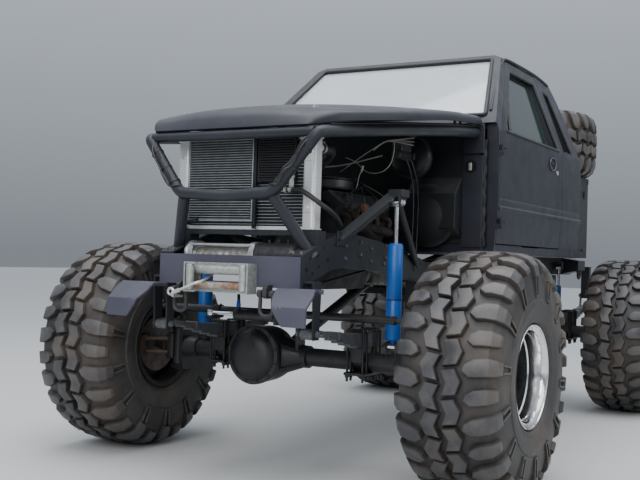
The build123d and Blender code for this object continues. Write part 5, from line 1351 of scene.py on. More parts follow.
def hoses():
    """Cooler hoses with their fittings, the radiator hoses and their clamps."""
    bm = bmesh.new()
    runs = (
        [(0.225, -0.481, 1.338), (0.267, -0.485, 1.340), (0.315, -0.493, 1.338), (0.363, -0.493, 1.312),
         (0.41, -0.47, 1.275), (0.434, -0.42, 1.245), (0.43, -0.34, 1.21), (0.39, -0.25, 1.19)],
        [(-0.362, -0.475, 1.187), (-0.33, -0.495, 1.185), (-0.29, -0.498, 1.192), (-0.25, -0.492, 1.20)],
    )
    for run in runs:
        pipe(bm, run, 0.0115, 4)
    piece("cooler_hoses", bm, HOSE_RUBBER)
    bm = bmesh.new()
    for run in runs:
        add_fitting(bm, at(*run[0]), at(*run[1]) + (at(*run[1]) - at(*run[0])).normalized() * 0.004)
    add_fitting(bm, at(0.262, -0.484, 1.405), at(0.262, -0.484, 1.35))
    piece("hose_fittings", bm, ZINC, corner=30)
    bm = bmesh.new()
    pipe(bm, [(0.349, -0.39, 1.534), (0.349, -0.31, 1.534), (0.33, -0.24, 1.53), (0.2, -0.17, 1.46),
              (0.06, -0.15, 1.40), (0.02, -0.09, 1.36)], 0.0245, 5)
    pipe(bm, [(-0.37, -0.39, 1.22), (-0.37, -0.31, 1.22), (-0.33, -0.24, 1.19), (-0.2, -0.2, 1.12),
              (-0.12, -0.16, 1.08), (-0.1, -0.05, 1.07)], 0.0245, 5)
    piece("radiator_hoses", bm, HOSE_RUBBER)
    bm = bmesh.new()
    for x, y, z in ((0.349, -0.372, 1.534), (-0.37, -0.372, 1.22)):
        collar(bm, 0.006, 0.0246, 0.0262, facing(at(x, y, z), (0, 1, 0)), 32)
        rod(bm, (x - 0.012, y, z + 0.027), (x + 0.012, y, z + 0.027), 0.0045, sides=12)
    piece("hose_clamps", bm, ZINC)


PULLEYS = ((0.0, 1.07, 0.085), (0.0, 1.25, 0.058), (-0.17, 1.225, 0.062))


def engine():
    """Vee engine: block, sump, heads, finned rocker covers, manifolds, air cleaner and front drive."""
    bm = bmesh.new()
    front, back = -0.04, 0.56
    outline = [(-0.145, 0.985), (0.145, 0.985), (0.155, 1.05), (0.228, 1.195), (0.243, 1.288), (0.09, 1.328),
               (-0.09, 1.328), (-0.243, 1.288), (-0.228, 1.195), (-0.155, 1.05)]
    plate(bm, [(x, front + 0.004, z) for x, z in outline], (0, back - front - 0.008, 0))
    plate(bm, [(x, front + 0.02, z)
               for x, z in ((-0.118, 0.882), (0.118, 0.882), (0.15, 0.985), (-0.15, 0.985))],
          (0, back - front - 0.06, 0))
    block(bm, (-0.152, front + 0.01, 0.982), (0.152, back - 0.02, 0.992), 0.002)
    for n in range(7):
        for side in (-1, 1):
            bolt(bm, (side * 0.145, 0.02 + 0.08 * n, 0.99), (0, 0, 1), 0.01, 0.005, False)
    for side in (-1, 1):
        for n in range(3):
            rod(bm, (side * 0.15, 0.08 + 0.17 * n, 1.09), (side * 0.192, 0.08 + 0.17 * n, 1.09), 0.024,
                sides=24)
        low, high = sorted((side * 0.1, side * 0.315))
        block(bm, (low, 0.205, 1.002), (high, 0.285, 1.038), 0.006)
    block(bm, (-0.068, 0.14, 1.325), (0.068, 0.38, 1.392), 0.012, 3)
    for n in range(4):
        for side in (-1, 1):
            y = 0.02 + 0.15 * n
            pipe(bm, [(side * 0.05, y + 0.02, 1.345), (side * 0.09, y, 1.35),
                      (side * 0.135, y - 0.01, 1.318)], 0.021, 4)
    block(bm, (-0.12, front - 0.012, 0.99), (0.12, front + 0.006, 1.28), 0.008)
    turned(bm, [(-0.05, CORE), (-0.05, 0.052), (-0.03, 0.062), (0.008, 0.066), (0.008, CORE)],
           facing(at(0, front, 1.16), (0, 1, 0)), 32)
    piece("engine_block", bm, ENGINE_IRON, ("engine",), 0.0016)
    bm = bmesh.new()
    cover = ((0.232, 1.28), (0.258, 1.314), (0.172, 1.378), (0.134, 1.338))
    for side in (-1, 1):
        plate(bm, [(side * x, -0.008, z) for x, z in cover], (0, 0.536, 0))
        line = Vector((side * (0.172 - 0.258), 0, 1.378 - 1.314))
        up = Vector((side * 0.6, 0, 0.8)).normalized()
        for n in range(5):
            foot = at(side * 0.258, 0, 1.314) + line * (0.2 + 0.15 * n)
            block(bm, foot + Vector((-0.003, 0.03, -0.001)), foot + Vector((0.003, 0.49, 0)) + up * 0.004,
                  0.001, 1)
        for n in range(4):
            foot = at(side * 0.243, 0.05 + 0.14 * n, 1.296)
            bolt(bm, foot + Vector((side * 0.002, 0, 0.001)), (side * 0.8, 0, -0.5), 0.012, 0.006)
        rod(bm, (side * 0.215, 0.1, 1.336), (side * 0.232, 0.1, 1.36), 0.02, sides=24)
    piece("rocker_covers", bm, COVER_METAL, soften=0.0016)
    bm = bmesh.new()
    up = Matrix.Translation(at(0, 0.26, 0))
    turned(bm, [(1.388, CORE), (1.388, 0.062), (1.39, 0.155), (1.395, 0.164), (1.402, 0.165), (1.405, 0.158)],
           up, 64)
    turned(bm, [(1.442, 0.158), (1.445, 0.165), (1.451, 0.164), (1.456, 0.152), (1.458, 0.05), (1.456, CORE)],
           up, 64)
    rod(bm, (0, 0.26, 1.452), (0, 0.26, 1.468), 0.006)
    turned(bm, [(1.46, CORE), (1.46, 0.016), (1.466, 0.018), (1.472, 0.014), (1.473, CORE)], up, 20)
    piece("air_cleaner", bm, BOOSTER_BLACK)
    bm = bmesh.new()
    turned(bm, [(1.4035, 0.1555), (1.4035, 0.1545), (1.4435, 0.1545), (1.4435, 0.1555)], up, 110, True)
    piece("air_filter", bm, COVER_METAL)
    bm = bmesh.new()
    for x, z, r in PULLEYS:
        turned(bm, [(-0.06, CORE), (-0.06, r * 0.4), (-0.052, r * 0.45), (-0.052, r * 0.8),
                    (-0.058, r * 0.86), (-0.058, r), (-0.053, r), (-0.045, r - 0.012), (-0.04, r - 0.012),
                    (-0.032, r), (-0.027, r), (-0.025, r * 0.5), (-0.004, r * 0.3), (-0.004, CORE)],
               facing(at(x, front, z), (0, 1, 0)), 48)
        bolt(bm, (x, front - 0.06, z), (0, -1, 0), 0.02, 0.01)
    turned(bm, [(-0.03, CORE), (-0.03, 0.06), (-0.02, 0.066), (0.07, 0.066), (0.085, 0.055), (0.088, CORE)],
           facing(at(-0.17, 0.02, 1.225), (0, 1, 0)), 36)
    piece("drive_pulleys", bm, COVER_METAL)
    bm = bmesh.new()
    y = front - 0.0425
    tops = [(0.0, 0.979), (0.062, 1.01), (0.088, 1.07), (0.078, 1.16), (0.056, 1.27), (0.0, 1.312),
            (-0.10, 1.298), (-0.19, 1.29), (-0.236, 1.235), (-0.218, 1.175), (-0.13, 1.09), (-0.07, 1.02)]
    pipe(bm, [(x, y, z) for x, z in tops], 0.0062, 2, None, True)
    piece("fan_belt", bm, HOSE_RUBBER)
    bm = bmesh.new()
    for side in (-1, 1):
        for n in range(4):
            start = at(side * 0.236, 0.03 + 0.145 * n, 1.262)
            pipe(bm, [start, start + Vector((side * 0.035, 0.0, -0.004)),
                      start + Vector((side * 0.05, 0.01, -0.028)), (side * 0.285, 0.05 + 0.13 * n, 1.205)],
                 0.0175, 4)
        pipe(bm, [(side * 0.287, 0.0, 1.205), (side * 0.29, 0.15, 1.2), (side * 0.288, 0.3, 1.195),
                  (side * 0.284, 0.47, 1.185)], 0.0255, 5)
    rod(bm, (-0.284, 0.44, 1.186), (-0.27, 0.66, 0.99), 0.024)
    piece("exhaust_manifolds", bm, HOT_PIPE)


def ignition():
    """Dark plug leads, the loose pale wires across the bay, a rusty pipe stub and the distributor."""
    bm = bmesh.new()
    for n in range(4):
        for side in (-1, 1):
            y = 0.06 + 0.135 * n
            pipe(bm, [(0.02 * side, 0.52, 1.43), (0.06 * side, 0.5, 1.462 + 0.008 * n),
                      (side * 0.17, 0.4 - 0.04 * n, 1.42 + 0.01 * n), (side * 0.262, y, 1.375),
                      (side * 0.285, y, 1.325), (side * 0.25, y, 1.27)], 0.0042, 2)
    piece("plug_leads", bm, HOSE_RUBBER)
    bm = bmesh.new()
    for y, z, lift in ((0.345, 1.664, 0.004), (0.348, 1.645, 0.003), (0.342, 1.626, -0.004)):
        pipe(bm, [(0.20, 0.43, 1.62), (0.292, 0.36, 1.657), (0.37, y, 1.655 + lift), (0.472, y, z)], 0.003, 2)
    for run in ([(0.295, 0.36, 1.652), (0.18, 0.38, 1.60), (0.04, 0.36, 1.50)],
                [(0.36, 0.35, 1.648), (0.365, 0.345, 1.56), (0.31, 0.34, 1.49), (0.21, 0.34, 1.485),
                 (0.13, 0.36, 1.56), (0.05, 0.40, 1.58)],
                [(0.20, 0.30, 1.50), (0.19, 0.29, 1.47), (0.185, 0.29, 1.43), (0.18, 0.28, 1.40)]):
        pipe(bm, run, 0.0022, 2)
    rod(bm, (0.207, 0.30, 1.525), (0.198, 0.30, 1.49), 0.0065, 0.0045, 12)
    pipe(bm, [(0.12, 0.69, 1.62), (0.10, 0.62, 1.60), (-0.02, 0.55, 1.56), (-0.16, 0.5, 1.54),
              (-0.30, 0.60, 1.58), (-0.34, 0.69, 1.62)], 0.004, 3)
    piece("loose_wires", bm, WIRE_WHITE)
    bm = bmesh.new()
    rod(bm, (0.335, 0.075, 1.30), (0.372, 0.055, 1.245), 0.021, 0.023)
    piece("rusty_stub", bm, STUB_RUST)
    bm = bmesh.new()
    turned(bm, [(1.33, CORE), (1.33, 0.026), (1.38, 0.03), (1.382, 0.044), (1.41, 0.046), (1.43, 0.036),
                (1.436, CORE)], Matrix.Translation(at(0, 0.52, 0)), 32)
    for (x, y), (top_x, top_y) in zip(round_points(8, 0.03), round_points(8, 0.031)):
        rod(bm, (x, 0.52 + y, 1.425), (top_x, 0.52 + top_y, 1.45), 0.0065, sides=12)
    piece("distributor", bm, HOSE_RUBBER)


def gearbox():
    """Ribbed bell housing, gearbox, transfer case and its yokes."""
    bm = bmesh.new()
    z = 0.9675
    axis = facing(at(0, 0.56, z), (0, 1, 0))
    turned(bm, [(0.002, CORE), (0.002, 0.097), (0.016, 0.097), (0.018, 0.09), (0.12, 0.072), (0.2, 0.056),
                (0.2, CORE)], axis, 40)
    for across, up in round_points(10, 0.091):
        bolt(bm, axis @ Vector((across, up, 0.016)), (0, 1, 0), 0.011, 0.006, False)
    block(bm, (-0.073, 0.72, 0.897), (0.073, 1.262, 1.038), 0.016, 3)
    for n in range(6):
        block(bm, (-0.075, 0.79 + 0.08 * n, 0.9), (0.075, 0.797 + 0.08 * n, 1.036), 0.002, 1)
    block(bm, (-0.223, 1.252, 0.872), (0.108, 1.518, 1.043), 0.022, 3)
    block(bm, (-0.058, 1.256, 0.8705), (0.058, 1.344, 0.93), 0.004)
    for x, way, end in ((-0.165, -1, 1.252), (0.0, 1, 1.518)):
        rod(bm, (x, end, z - 0.01), (x, end + way * 0.035, z - 0.012), 0.045, sides=32)
    piece("gearbox", bm, GEARBOX_CASE, ("gearbox",), 0.001)
    bm = bmesh.new()
    shafts = (((-0.16, 0.187, 0.557), (-0.165, 1.248, 0.953), 0.030),
              ((0, 1.522, 0.962), (0, 2.943, 0.557), 0.036))
    for start, end, r in shafts:
        start, end = at(*start), at(*end)
        way = (end - start).normalized()
        rod(bm, start + way * 0.09, end - way * 0.09, r, sides=32)
        for spot, out in ((start, way), (end, -way)):
            rod(bm, spot, spot + out * 0.012, 0.05, sides=24)
            rod(bm, spot + out * 0.012, spot + out * 0.045, 0.030, 0.024)
            cross = spot + out * 0.05
            rod(bm, cross + Vector((-0.036, 0, 0)), cross + Vector((0.036, 0, 0)), 0.0135)
            for low, high in ((-0.036, -0.024), (0.024, 0.036)):
                block(bm, cross + Vector((low, -0.02, -0.02)), cross + Vector((high, 0.02, 0.02)), 0.004)
            rod(bm, spot + out * 0.055, spot + out * 0.093, 0.026, r * 0.98, 24)
    piece("propeller_shafts", bm, AXLE_PAINT, ("propeller_shafts",))


def exhaust():
    """Rusty pipe with its flange at the manifold and hangers under the cab."""
    bm = bmesh.new()
    route = [(0.245, 0.06, 1.245), (0.303, 0.06, 1.245), (0.278, 0.33, 1.13), (0.262, 0.70, 0.985),
             (0.255, 1.20, 0.975), (0.255, 2.15, 0.975)]
    pipe(bm, route, 0.0255, 6, 0.04)
    turned(bm, [(0.0, 0.0255), (0.0, 0.043), (0.011, 0.043), (0.011, 0.0255)], along_x(0.262, 0.06, 1.245),
           32, True)
    turned(bm, [(0.0, 0.024), (0.0, 0.037), (0.03, 0.037), (0.034, 0.03), (0.034, 0.024)],
           along_x(0.302, 0.055, 1.251), 32, True)
    for y in (1.05, 1.9):
        collar(bm, 0.011, 0.0256, 0.0285, facing(at(0.255, y, 0.975), (0, 1, 0)), 32)
        rod(bm, (0.255, y, 1.0), (0.255, y, 1.04), 0.006)
        rod(bm, (0.255, y, 1.04), (0.325, y, 1.04), 0.006)
    piece("exhaust", bm, HOT_PIPE, ("exhaust",))


def booster():
    """Vacuum drum with its rolled seam, master cylinder, reservoir and brake lines."""
    bm = bmesh.new()
    axis = facing(at(0.365, 0.70, 1.588), (0, -1, 0))
    turned(bm, [(0.001, CORE), (0.001, 0.042), (0.088, 0.042), (0.092, 0.08), (0.1, 0.1), (0.118, 0.113),
                (0.136, 0.116), (0.138, 0.118), (0.148, 0.118), (0.15, 0.115), (0.168, 0.11), (0.18, 0.096),
                (0.187, 0.07), (0.19, 0.045), (0.19, CORE)], axis, 64)
    rod(bm, (0.315, 0.515, 1.645), (0.315, 0.49, 1.645), 0.011)
    piece("brake_booster", bm, BOOSTER_BLACK, ("brake_booster",))
    bm = bmesh.new()
    rod(bm, (0.365, 0.512, 1.588), (0.365, 0.36, 1.588), 0.0235, 0.021, 32)
    block(bm, (0.325, 0.505, 1.572), (0.405, 0.512, 1.604), 0.002)
    block(bm, (0.335, 0.37, 1.606), (0.395, 0.49, 1.653), 0.007, 3)
    block(bm, (0.331, 0.366, 1.65), (0.399, 0.494, 1.659), 0.003)
    for y in (0.40, 0.46):
        rod(bm, (0.365, y, 1.585), (0.365, y, 1.61), 0.014)
        pipe(bm, [(0.385, y, 1.585), (0.41, y - 0.01, 1.57), (0.42, y + 0.03, 1.5), (0.40, y + 0.12, 1.40),
                  (0.39, y + 0.14, 1.2), (0.385, y + 0.14, 1.08)], 0.003, 2)
    piece("master_cylinder", bm, COVER_METAL, soften=0.0008)


# Hood, cab and glass

HOOD_LINE = (
    # y, half width, height of the edge, height of the crown
    (-0.612, 0.455, 1.622, 1.700),
    (-0.200, 0.655, 1.672, 1.775),
    (0.300, 0.702, 1.738, 1.836),
    (0.688, 0.706, 1.768, 1.862),
)
SIDE_LINE = ((1.090, 0.768), (1.357, 0.790), (1.745, 0.785), (2.236, 0.612))


def side_x(z):
    """Outer half width of the cab at a height."""
    for (low, near), (high, far) in zip(SIDE_LINE, SIDE_LINE[1:]):
        if z <= high:
            return near + (far - near) * (z - low) / (high - low)
    return SIDE_LINE[-1][1]


def skin(y, z, side=1, out=0.0):
    """Place on the cab's side skin."""
    return at(side * (side_x(z) + out), y, z)


def hood_values(y):
    """Half width, edge and crown of the hood at a place along it, eased through the sections."""
    knots = HOOD_LINE
    n = 0
    while n < len(knots) - 2 and y > knots[n + 1][0]:
        n += 1
    before, start, end, after = (knots[min(max(k, 0), len(knots) - 1)] for k in range(n - 1, n + 3))
    span = end[0] - start[0]
    t = (y - start[0]) / span
    values = []
    for k in (1, 2, 3):
        rise_in = (end[k] - before[k]) / (end[0] - before[0]) * span
        rise_out = (after[k] - start[k]) / (after[0] - start[0]) * span
        values.append(start[k] * (1 + 2 * t) * (1 - t) ** 2 + rise_in * t * (1 - t) ** 2
                      + end[k] * t * t * (3 - 2 * t) + rise_out * t * t * (t - 1))
    return values


def hood():
    """Crowned hood skin with rounded shoulders and closed nose, its hinges and pins, and the rests under it."""
    bm = bmesh.new()
    across, along = 60, 66
    bmesh.ops.create_grid(bm, x_segments=across, y_segments=along, size=1)
    back, front = 0.686, -0.61
    shoulder = 0.052
    for vert in bm.verts:
        u, v = vert.co.x, vert.co.y
        y = front + (back - front) * (v + 1) / 2
        half, edge, crown = hood_values(y)
        half, edge, crown = half - 0.001, edge + 0.0005, crown - 0.001
        top = edge + shoulder
        share = abs(u)
        if share < 0.8:
            x = (half - shoulder) * share / 0.8
            z = top + (crown - top) * (1 - (share / 0.8) ** 2)
        elif share < 0.93:
            turn = (share - 0.8) / 0.13 * pi / 2
            x = half - shoulder + shoulder * sin(turn)
            z = top - 0.62 * shoulder * (1 - cos(turn))
        else:
            x = half
            z = top - 0.62 * shoulder - (top - 0.62 * shoulder - edge) * (share - 0.93) / 0.07
        nose = min(1.0, (y - front) / 0.11)
        z = edge - 0.012 * (1 - nose) + (z - edge) * (1 - (1 - nose) ** 2) ** 0.5
        x *= 1 - 0.09 * (1 - nose) ** 2
        vert.co = at(x if u > 0 else -x, y, z)
    bmesh.ops.recalc_face_normals(bm, faces=bm.faces)
    middle = min(bm.faces, key=lambda face: face.calc_center_median().xy.length)
    if middle.normal.z < 0:
        bmesh.ops.reverse_faces(bm, faces=bm.faces)
    bmesh.ops.solidify(bm, geom=bm.faces[:], thickness=0.016)
    for x in (-0.56, 0.56):
        block(bm, (x - 0.008, 0.64, 1.8105), (x + 0.008, 0.704, 1.8215), 0.002)
        collar(bm, 0.008, 0.0045, 0.0095, along_x(x, 0.704, 1.816), 20)
    piece("hood_skin", bm, BODY_PAINT, ("hood",), corner=40, body="hood")
    bm = bmesh.new()
    for side in (-1, 1):
        x, y, z = side * 0.36, -0.47, 1.703
        turned(bm, [(z - 0.003, CORE), (z - 0.003, 0.024), (z + 0.001, 0.024), (z + 0.002, 0.011),
                    (z + 0.001, CORE)], Matrix.Translation(at(x, y, 0)), 28)
        rod(bm, (x, y, z), (x, y, z + 0.014), 0.0055)
        pipe(bm, [(x - 0.014, y, z + 0.008), (x + 0.018, y, z + 0.008), (x + 0.024, y, z + 0.003),
                  (x + 0.016, y + 0.003, z + 0.003)], 0.0013, 2)
    piece("hood_pins", bm, ZINC, body="hood")
    bm = bmesh.new()
    for side in (-1, 1):
        pipe(bm, [(side * x, y, z)
                  for x, y, z in ((0.672, 0.69, 1.7615), (0.668, 0.396, 1.7305), (0.592, -0.09, 1.675),
                                  (0.48, -0.53, 1.619))], 0.0075, 3, 0.12)
    piece("hood_rests", bm, TRIM_RUBBER)


SWAGE = (
    # height, how far the skin stands back from its plain line
    (1.316, 0.0), (1.328, -0.007), (1.338, -0.0065), (1.348, 0.002), (1.376, 0.0025), (1.381, 0.0),
    (1.386, 0.002), (1.41, 0.0),
)


def creased(bm):
    """Presses the two crease lines into the cab's outer side skins."""
    for z, _ in SWAGE:
        bmesh.ops.bisect_plane(bm, geom=everything(bm), dist=1e-5, plane_co=(0, 0, z), plane_no=(0, 0, 1))
    for vert in bm.verts:
        for z, back in SWAGE:
            if abs(vert.co.z - z) < 1e-4 and abs(abs(vert.co.x) - side_x(z)) < 0.002:
                vert.co.x -= back if vert.co.x > 0 else -back
    return bm


def add_seal(bm, corners, side, soft):
    """Rubber bead round an opening in the side skin, its corners eased."""
    loop = eased_loop([skin(y, z, side, -0.006) for y, z in corners], soft)
    pipe(bm, loop, 0.0085, 3, None, True)


DOOR_WINDOW = ((0.860, 1.757), (1.290, 2.165), (1.742, 2.165), (1.835, 1.757))
QUARTER_WINDOW = ((1.945, 1.757), (1.895, 2.150), (2.010, 2.135), (2.150, 1.757))


def doors():
    """Doors with creased skins, glass, seals, vent bars, oval handles, locks and hinges."""
    for side, name in SIDES:
        body = f"door_{name}"
        piece(body, creased(cad_shape(body)), BODY_PAINT, (body,), 0.0022, 26, False, body=body)
        dressed(f"door_glass_{name}", SIDE_GLASS, 0.0004, body=body)
        bm = bmesh.new()
        add_seal(bm, DOOR_WINDOW, side, 0.035)
        pipe(bm, [skin(0.985, 1.757, side, -0.02), skin(0.985, 1.80, side, -0.02),
                  skin(1.20, 2.06, side, -0.02)], 0.009, 3)
        pipe(bm, [skin(y, z, side, 0.0035) for y, z in ((0.87, 1.752), (1.35, 1.751), (1.83, 1.752))], 0.006,
             3)
        piece(f"door_seals_{name}", bm, TRIM_RUBBER, body=body)
        bm = bmesh.new()
        ring = bmesh.ops.create_circle(bm, cap_ends=True, segments=40, radius=1,
                                       matrix=Matrix.Identity(4))["verts"]
        for vert in ring:
            y, z = 0.058 * vert.co.x, 0.037 * vert.co.y
            vert.co = skin(1.693 + y, 1.658 + z, side, 0.007)
        face = list({face for vert in ring for face in vert.link_faces})
        for width, depth in ((0.006, 0.004), (0.005, 0.006)):
            bmesh.ops.inset_region(bm, faces=face, thickness=width, use_even_offset=True)
            bmesh.ops.translate(bm, verts=list({v for f in face for v in f.verts}), vec=(-side * depth, 0, 0))
        bmesh.ops.solidify(bm, geom=bm.faces[:], thickness=0.002)
        block(bm, *corners_of(skin(1.655, 1.653, side, -0.001), skin(1.731, 1.668, side, 0.009)), 0.003)
        piece(f"door_handle_{name}", bm, HANDLE_DARK, corner=40, body=body)
        # Grey bead round the handle's recess: painted highlight along the rim's edge.
        bm = bmesh.new()
        pipe(bm, [skin(1.693 + 0.06 * cos(pi * n / 8), 1.658 + 0.039 * sin(pi * n / 8), side, 0.006)
                  for n in range(16)], 0.0042, 3, None, True)
        piece(f"handle_rim_highlight_{name}", bm, BOLT_STEEL, body=body)
        bm = bmesh.new()
        spot = skin(1.80, 1.612, side, 0)
        turned(bm, [(-0.001, CORE), (-0.001, 0.014), (0.003, 0.0135), (0.0045, 0.011), (0.003, 0.0085),
                    (0.003, CORE)], facing(spot, (side, 0, 0)), 28)
        piece(f"door_lock_{name}", bm, BRIGHT_BOLT, body=body)
        bm = bmesh.new()
        for z in (1.25, 1.64):
            up = Matrix.Translation(at(side * 0.802, 0.752, 0))
            turned(bm, [(z + 0.0008, 0.0055), (z + 0.0008, 0.0102), (z + 0.0275, 0.0102),
                        (z + 0.0275, 0.0055)], up, 28, True)
            for y in (0.775, 0.793):
                bolt(bm, (side * 0.8035, y, z + 0.014), (side, 0, 0), 0.009, 0.005, False)
        piece(f"door_hinges_{name}", bm, BODY_PAINT, body=body)


def cab():
    """Cab panels, glass, seals, screen gasket, drip rails, hinge pins and the crumpled strips at the jambs."""
    for node in ("cab_floor", "front_frame", "roof", "back_wall"):
        dressed(node, BODY_PAINT, 0.0022, 26)
    dressed("firewall", BAY_BLACK, 0.006, 26)
    for _, name in SIDES:
        node = f"quarter_{name}"
        piece(node, creased(cad_shape(node)), BODY_PAINT, (node,), 0.0022, 26, False)
    dressed("cab_glass", SIDE_GLASS, 0.0004)
    dressed("windscreen", SCREEN_GLASS_AND_REFLECTION, 0.0004)
    bm = bmesh.new()
    for side in (-1, 1):
        add_seal(bm, QUARTER_WINDOW, side, 0.03)
    low, high, foot, head = 0.692, 0.562, (0.768, 1.836), (1.204, 2.227)
    corners = [at(-low, *foot), at(low, *foot), at(high, *head), at(-high, *head)]
    pipe(bm, eased_loop(corners, 0.04), 0.0115, 4, None, True)
    hole = [at(x, 2.352 - 0.330 * (z - 1.65) - 0.002, z)
            for x, z in ((-0.43, 1.74), (0.43, 1.74), (0.43, 2.11), (-0.43, 2.11))]
    pipe(bm, eased_loop(hole, 0.04), 0.0105, 4, None, True)
    piece("window_seals", bm, TRIM_RUBBER)
    bm = bmesh.new()
    for side in (-1, 1):
        line = ((0.71, 0.80, 1.862), (0.655, 1.02, 2.052), (0.617, 1.225, 2.226), (0.613, 1.30, 2.242),
                (0.613, 1.62, 2.246), (0.613, 1.95, 2.242), (0.622, 2.08, 2.214))
        pipe(bm, [(side * x, y, z) for x, y, z in line], 0.008, 3)
    piece("drip_rails", bm, BODY_PAINT)
    bm = bmesh.new()
    for side in (-1, 1):
        for z in (1.25, 1.64):
            up = Matrix.Translation(at(side * 0.802, 0.752, 0))
            turned(bm, [(z - 0.0275, CORE), (z - 0.0275, 0.0102), (z - 0.0008, 0.0102), (z - 0.0008, 0.005),
                        (z + 0.0285, 0.0048), (z + 0.034, 0.0048), (z + 0.034, CORE)], up, 28)
            bolt(bm, (side * 0.8035, 0.741, z - 0.014), (side, 0, 0), 0.009, 0.005, False)
    piece("hinge_pins", bm, BODY_PAINT)
    bm = bmesh.new()
    for side in (-1, 1):
        for shift in (0, 1):
            pipe(bm, [(side * (0.716 + 0.005 * sin(2.3 * n + shift)), 0.712 + 0.005 * cos(1.7 * n + shift),
                       1.13 + 0.028 * n) for n in range(21)], 0.014 - 0.002 * shift, 3)
    piece("jamb_foam", bm, HANDLE_DARK)


def marker_lamps():
    """Plates beside the firewall with a small pale side lamp in each, set in a dark disc of painted shade, and
    the footwell's round bulge.
    """
    for side, name in SIDES:
        bm = bmesh.new()
        block(bm, *corners_of(at(side * 0.602, 0.686, 1.617), at(side * 0.722, 0.698, 1.762)), 0.004)
        block(bm, *corners_of(at(side * 0.600, 0.691, 1.12), at(side * 0.716, 0.699, 1.61)), 0.004)
        for x, z in ((0.612, 1.63), (0.70, 1.63), (0.612, 1.748), (0.70, 1.748), (0.61, 1.2), (0.61, 1.4)):
            bolt(bm, (side * x, 0.688, z), (0, -1, 0), 0.009, 0.005)
        piece(f"cowl_plate_{name}", bm, BODY_PAINT, soften=0.0008)
        # Dark oval disc round each lamp: painted shade in the hole behind it.
        middle = at(side * 0.648, 0.691, 1.548)
        oval = Matrix.Translation(middle) @ Matrix.Diagonal((0.8, 1, 1, 1)) @ turn_to((0, -1, 0))
        bm = bmesh.new()
        turned(bm, [(-0.001, CORE), (-0.001, 0.042), (0.003, 0.042), (0.003, 0.036), (0.001, 0.034),
                    (0.001, CORE)], oval, 40)
        piece(f"lamp_hole_shade_{name}", bm, SHADOW_BLACK)
        bm = bmesh.new()
        block(bm, *corners_of(at(side * 0.636, 0.684, 1.528), at(side * 0.656, 0.690, 1.57)), 0.003)
        piece(f"side_lamp_{name}", bm, ZINC)
    bm = bmesh.new()
    for side in (-1, 1):
        place = Matrix.Translation(at(side * 0.42, 0.66, 1.285)) @ Matrix.Diagonal((0.175, 0.07, 0.17, 1))
        bmesh.ops.create_uvsphere(bm, u_segments=48, v_segments=24, radius=1, matrix=place)
    piece("footwell_bulge", bm, BAY_BLACK)


def cabin():
    """Dash with its dials, and the steering wheel with its hub."""
    dressed("dashboard", DASH_PLASTIC, 0.004, 26)
    bm = bmesh.new()
    for x, r in ((0.30, 0.048), (0.42, 0.048), (0.20, 0.026), (0.52, 0.026)):
        face = facing(at(x, 0.978, 1.656), (0, 1, 0.14))
        turned(bm, [(-0.004, CORE), (-0.004, r), (0.004, r), (0.006, r * 0.93), (0.003, r * 0.9),
                    (0.002, CORE)], face, 36)
    piece("dials", bm, COVER_METAL)
    way = Vector((0, 0.88, 0.475)).normalized()
    end = at(0.36, 1.13, 1.76)
    centre = end + way * 0.04
    bm = bmesh.new()
    up = facing(centre, way)
    radius, thick = 0.185, 0.0135
    loop = [(thick * sin(2 * pi * n / 14), radius + thick * cos(2 * pi * n / 14)) for n in range(14)]
    turned(bm, loop, up, 72, True)
    for angle in (0, pi, 1.5 * pi):
        out = up.to_3x3() @ Vector((cos(angle), sin(angle), 0))
        for gap in (-0.009, 0.009):
            over = up.to_3x3() @ Vector((-sin(angle), cos(angle), 0)) * gap
            rod(bm, centre + over + out * 0.02, centre + over + out * (radius - 0.004), 0.0055)
    turned(bm, [(-0.039, CORE), (-0.039, 0.024), (-0.015, 0.03), (0.0, 0.034), (0.008, 0.032), (0.01, CORE)],
           up, 40)
    piece("steering_wheel", bm, DASH_PLASTIC, ("steering_wheel",), body="steering_wheel")


def swollen(bm, name, cap):
    """Pad skin blown up as cloth over its plain shape, held near it, then smoothed."""
    mesh = bpy.data.meshes.new(name)
    bm.to_mesh(mesh)
    bm.free()
    pad = bpy.data.objects.new(name, mesh)
    bpy.context.collection.objects.link(pad)
    remesh = pad.modifiers.new("even", "REMESH")
    remesh.mode = "VOXEL"
    remesh.voxel_size = 0.014
    depsgraph = bpy.context.evaluated_depsgraph_get()
    plain = bpy.data.meshes.new_from_object(pad.evaluated_get(depsgraph))
    pad.modifiers.clear()
    pad.data = plain
    rest = [vert.co.copy() for vert in plain.vertices]
    cloth = pad.modifiers.new("stuffing", "CLOTH")
    cloth.settings.quality = 5
    cloth.settings.use_pressure = True
    cloth.settings.uniform_pressure_force = 4
    cloth.settings.effector_weights.gravity = 0
    scene = bpy.context.scene
    for frame_number in range(1, 21):
        scene.frame_set(frame_number)
    depsgraph = bpy.context.evaluated_depsgraph_get()
    blown = bpy.data.meshes.new_from_object(pad.evaluated_get(depsgraph))
    moved = [vert.co.copy() for vert in blown.vertices]
    pad.modifiers.clear()
    scene.frame_set(1)
    out = bmesh.new()
    out.from_mesh(plain)
    for vert, start, spot in zip(out.verts, rest, moved):
        shift = spot - start
        if shift.length > cap:
            shift = shift.normalized() * cap
        vert.co = start + shift
    bmesh.ops.smooth_vert(out, verts=out.verts, factor=0.5, use_axis_x=True, use_axis_y=True, use_axis_z=True)
    bpy.data.objects.remove(pad)
    return out


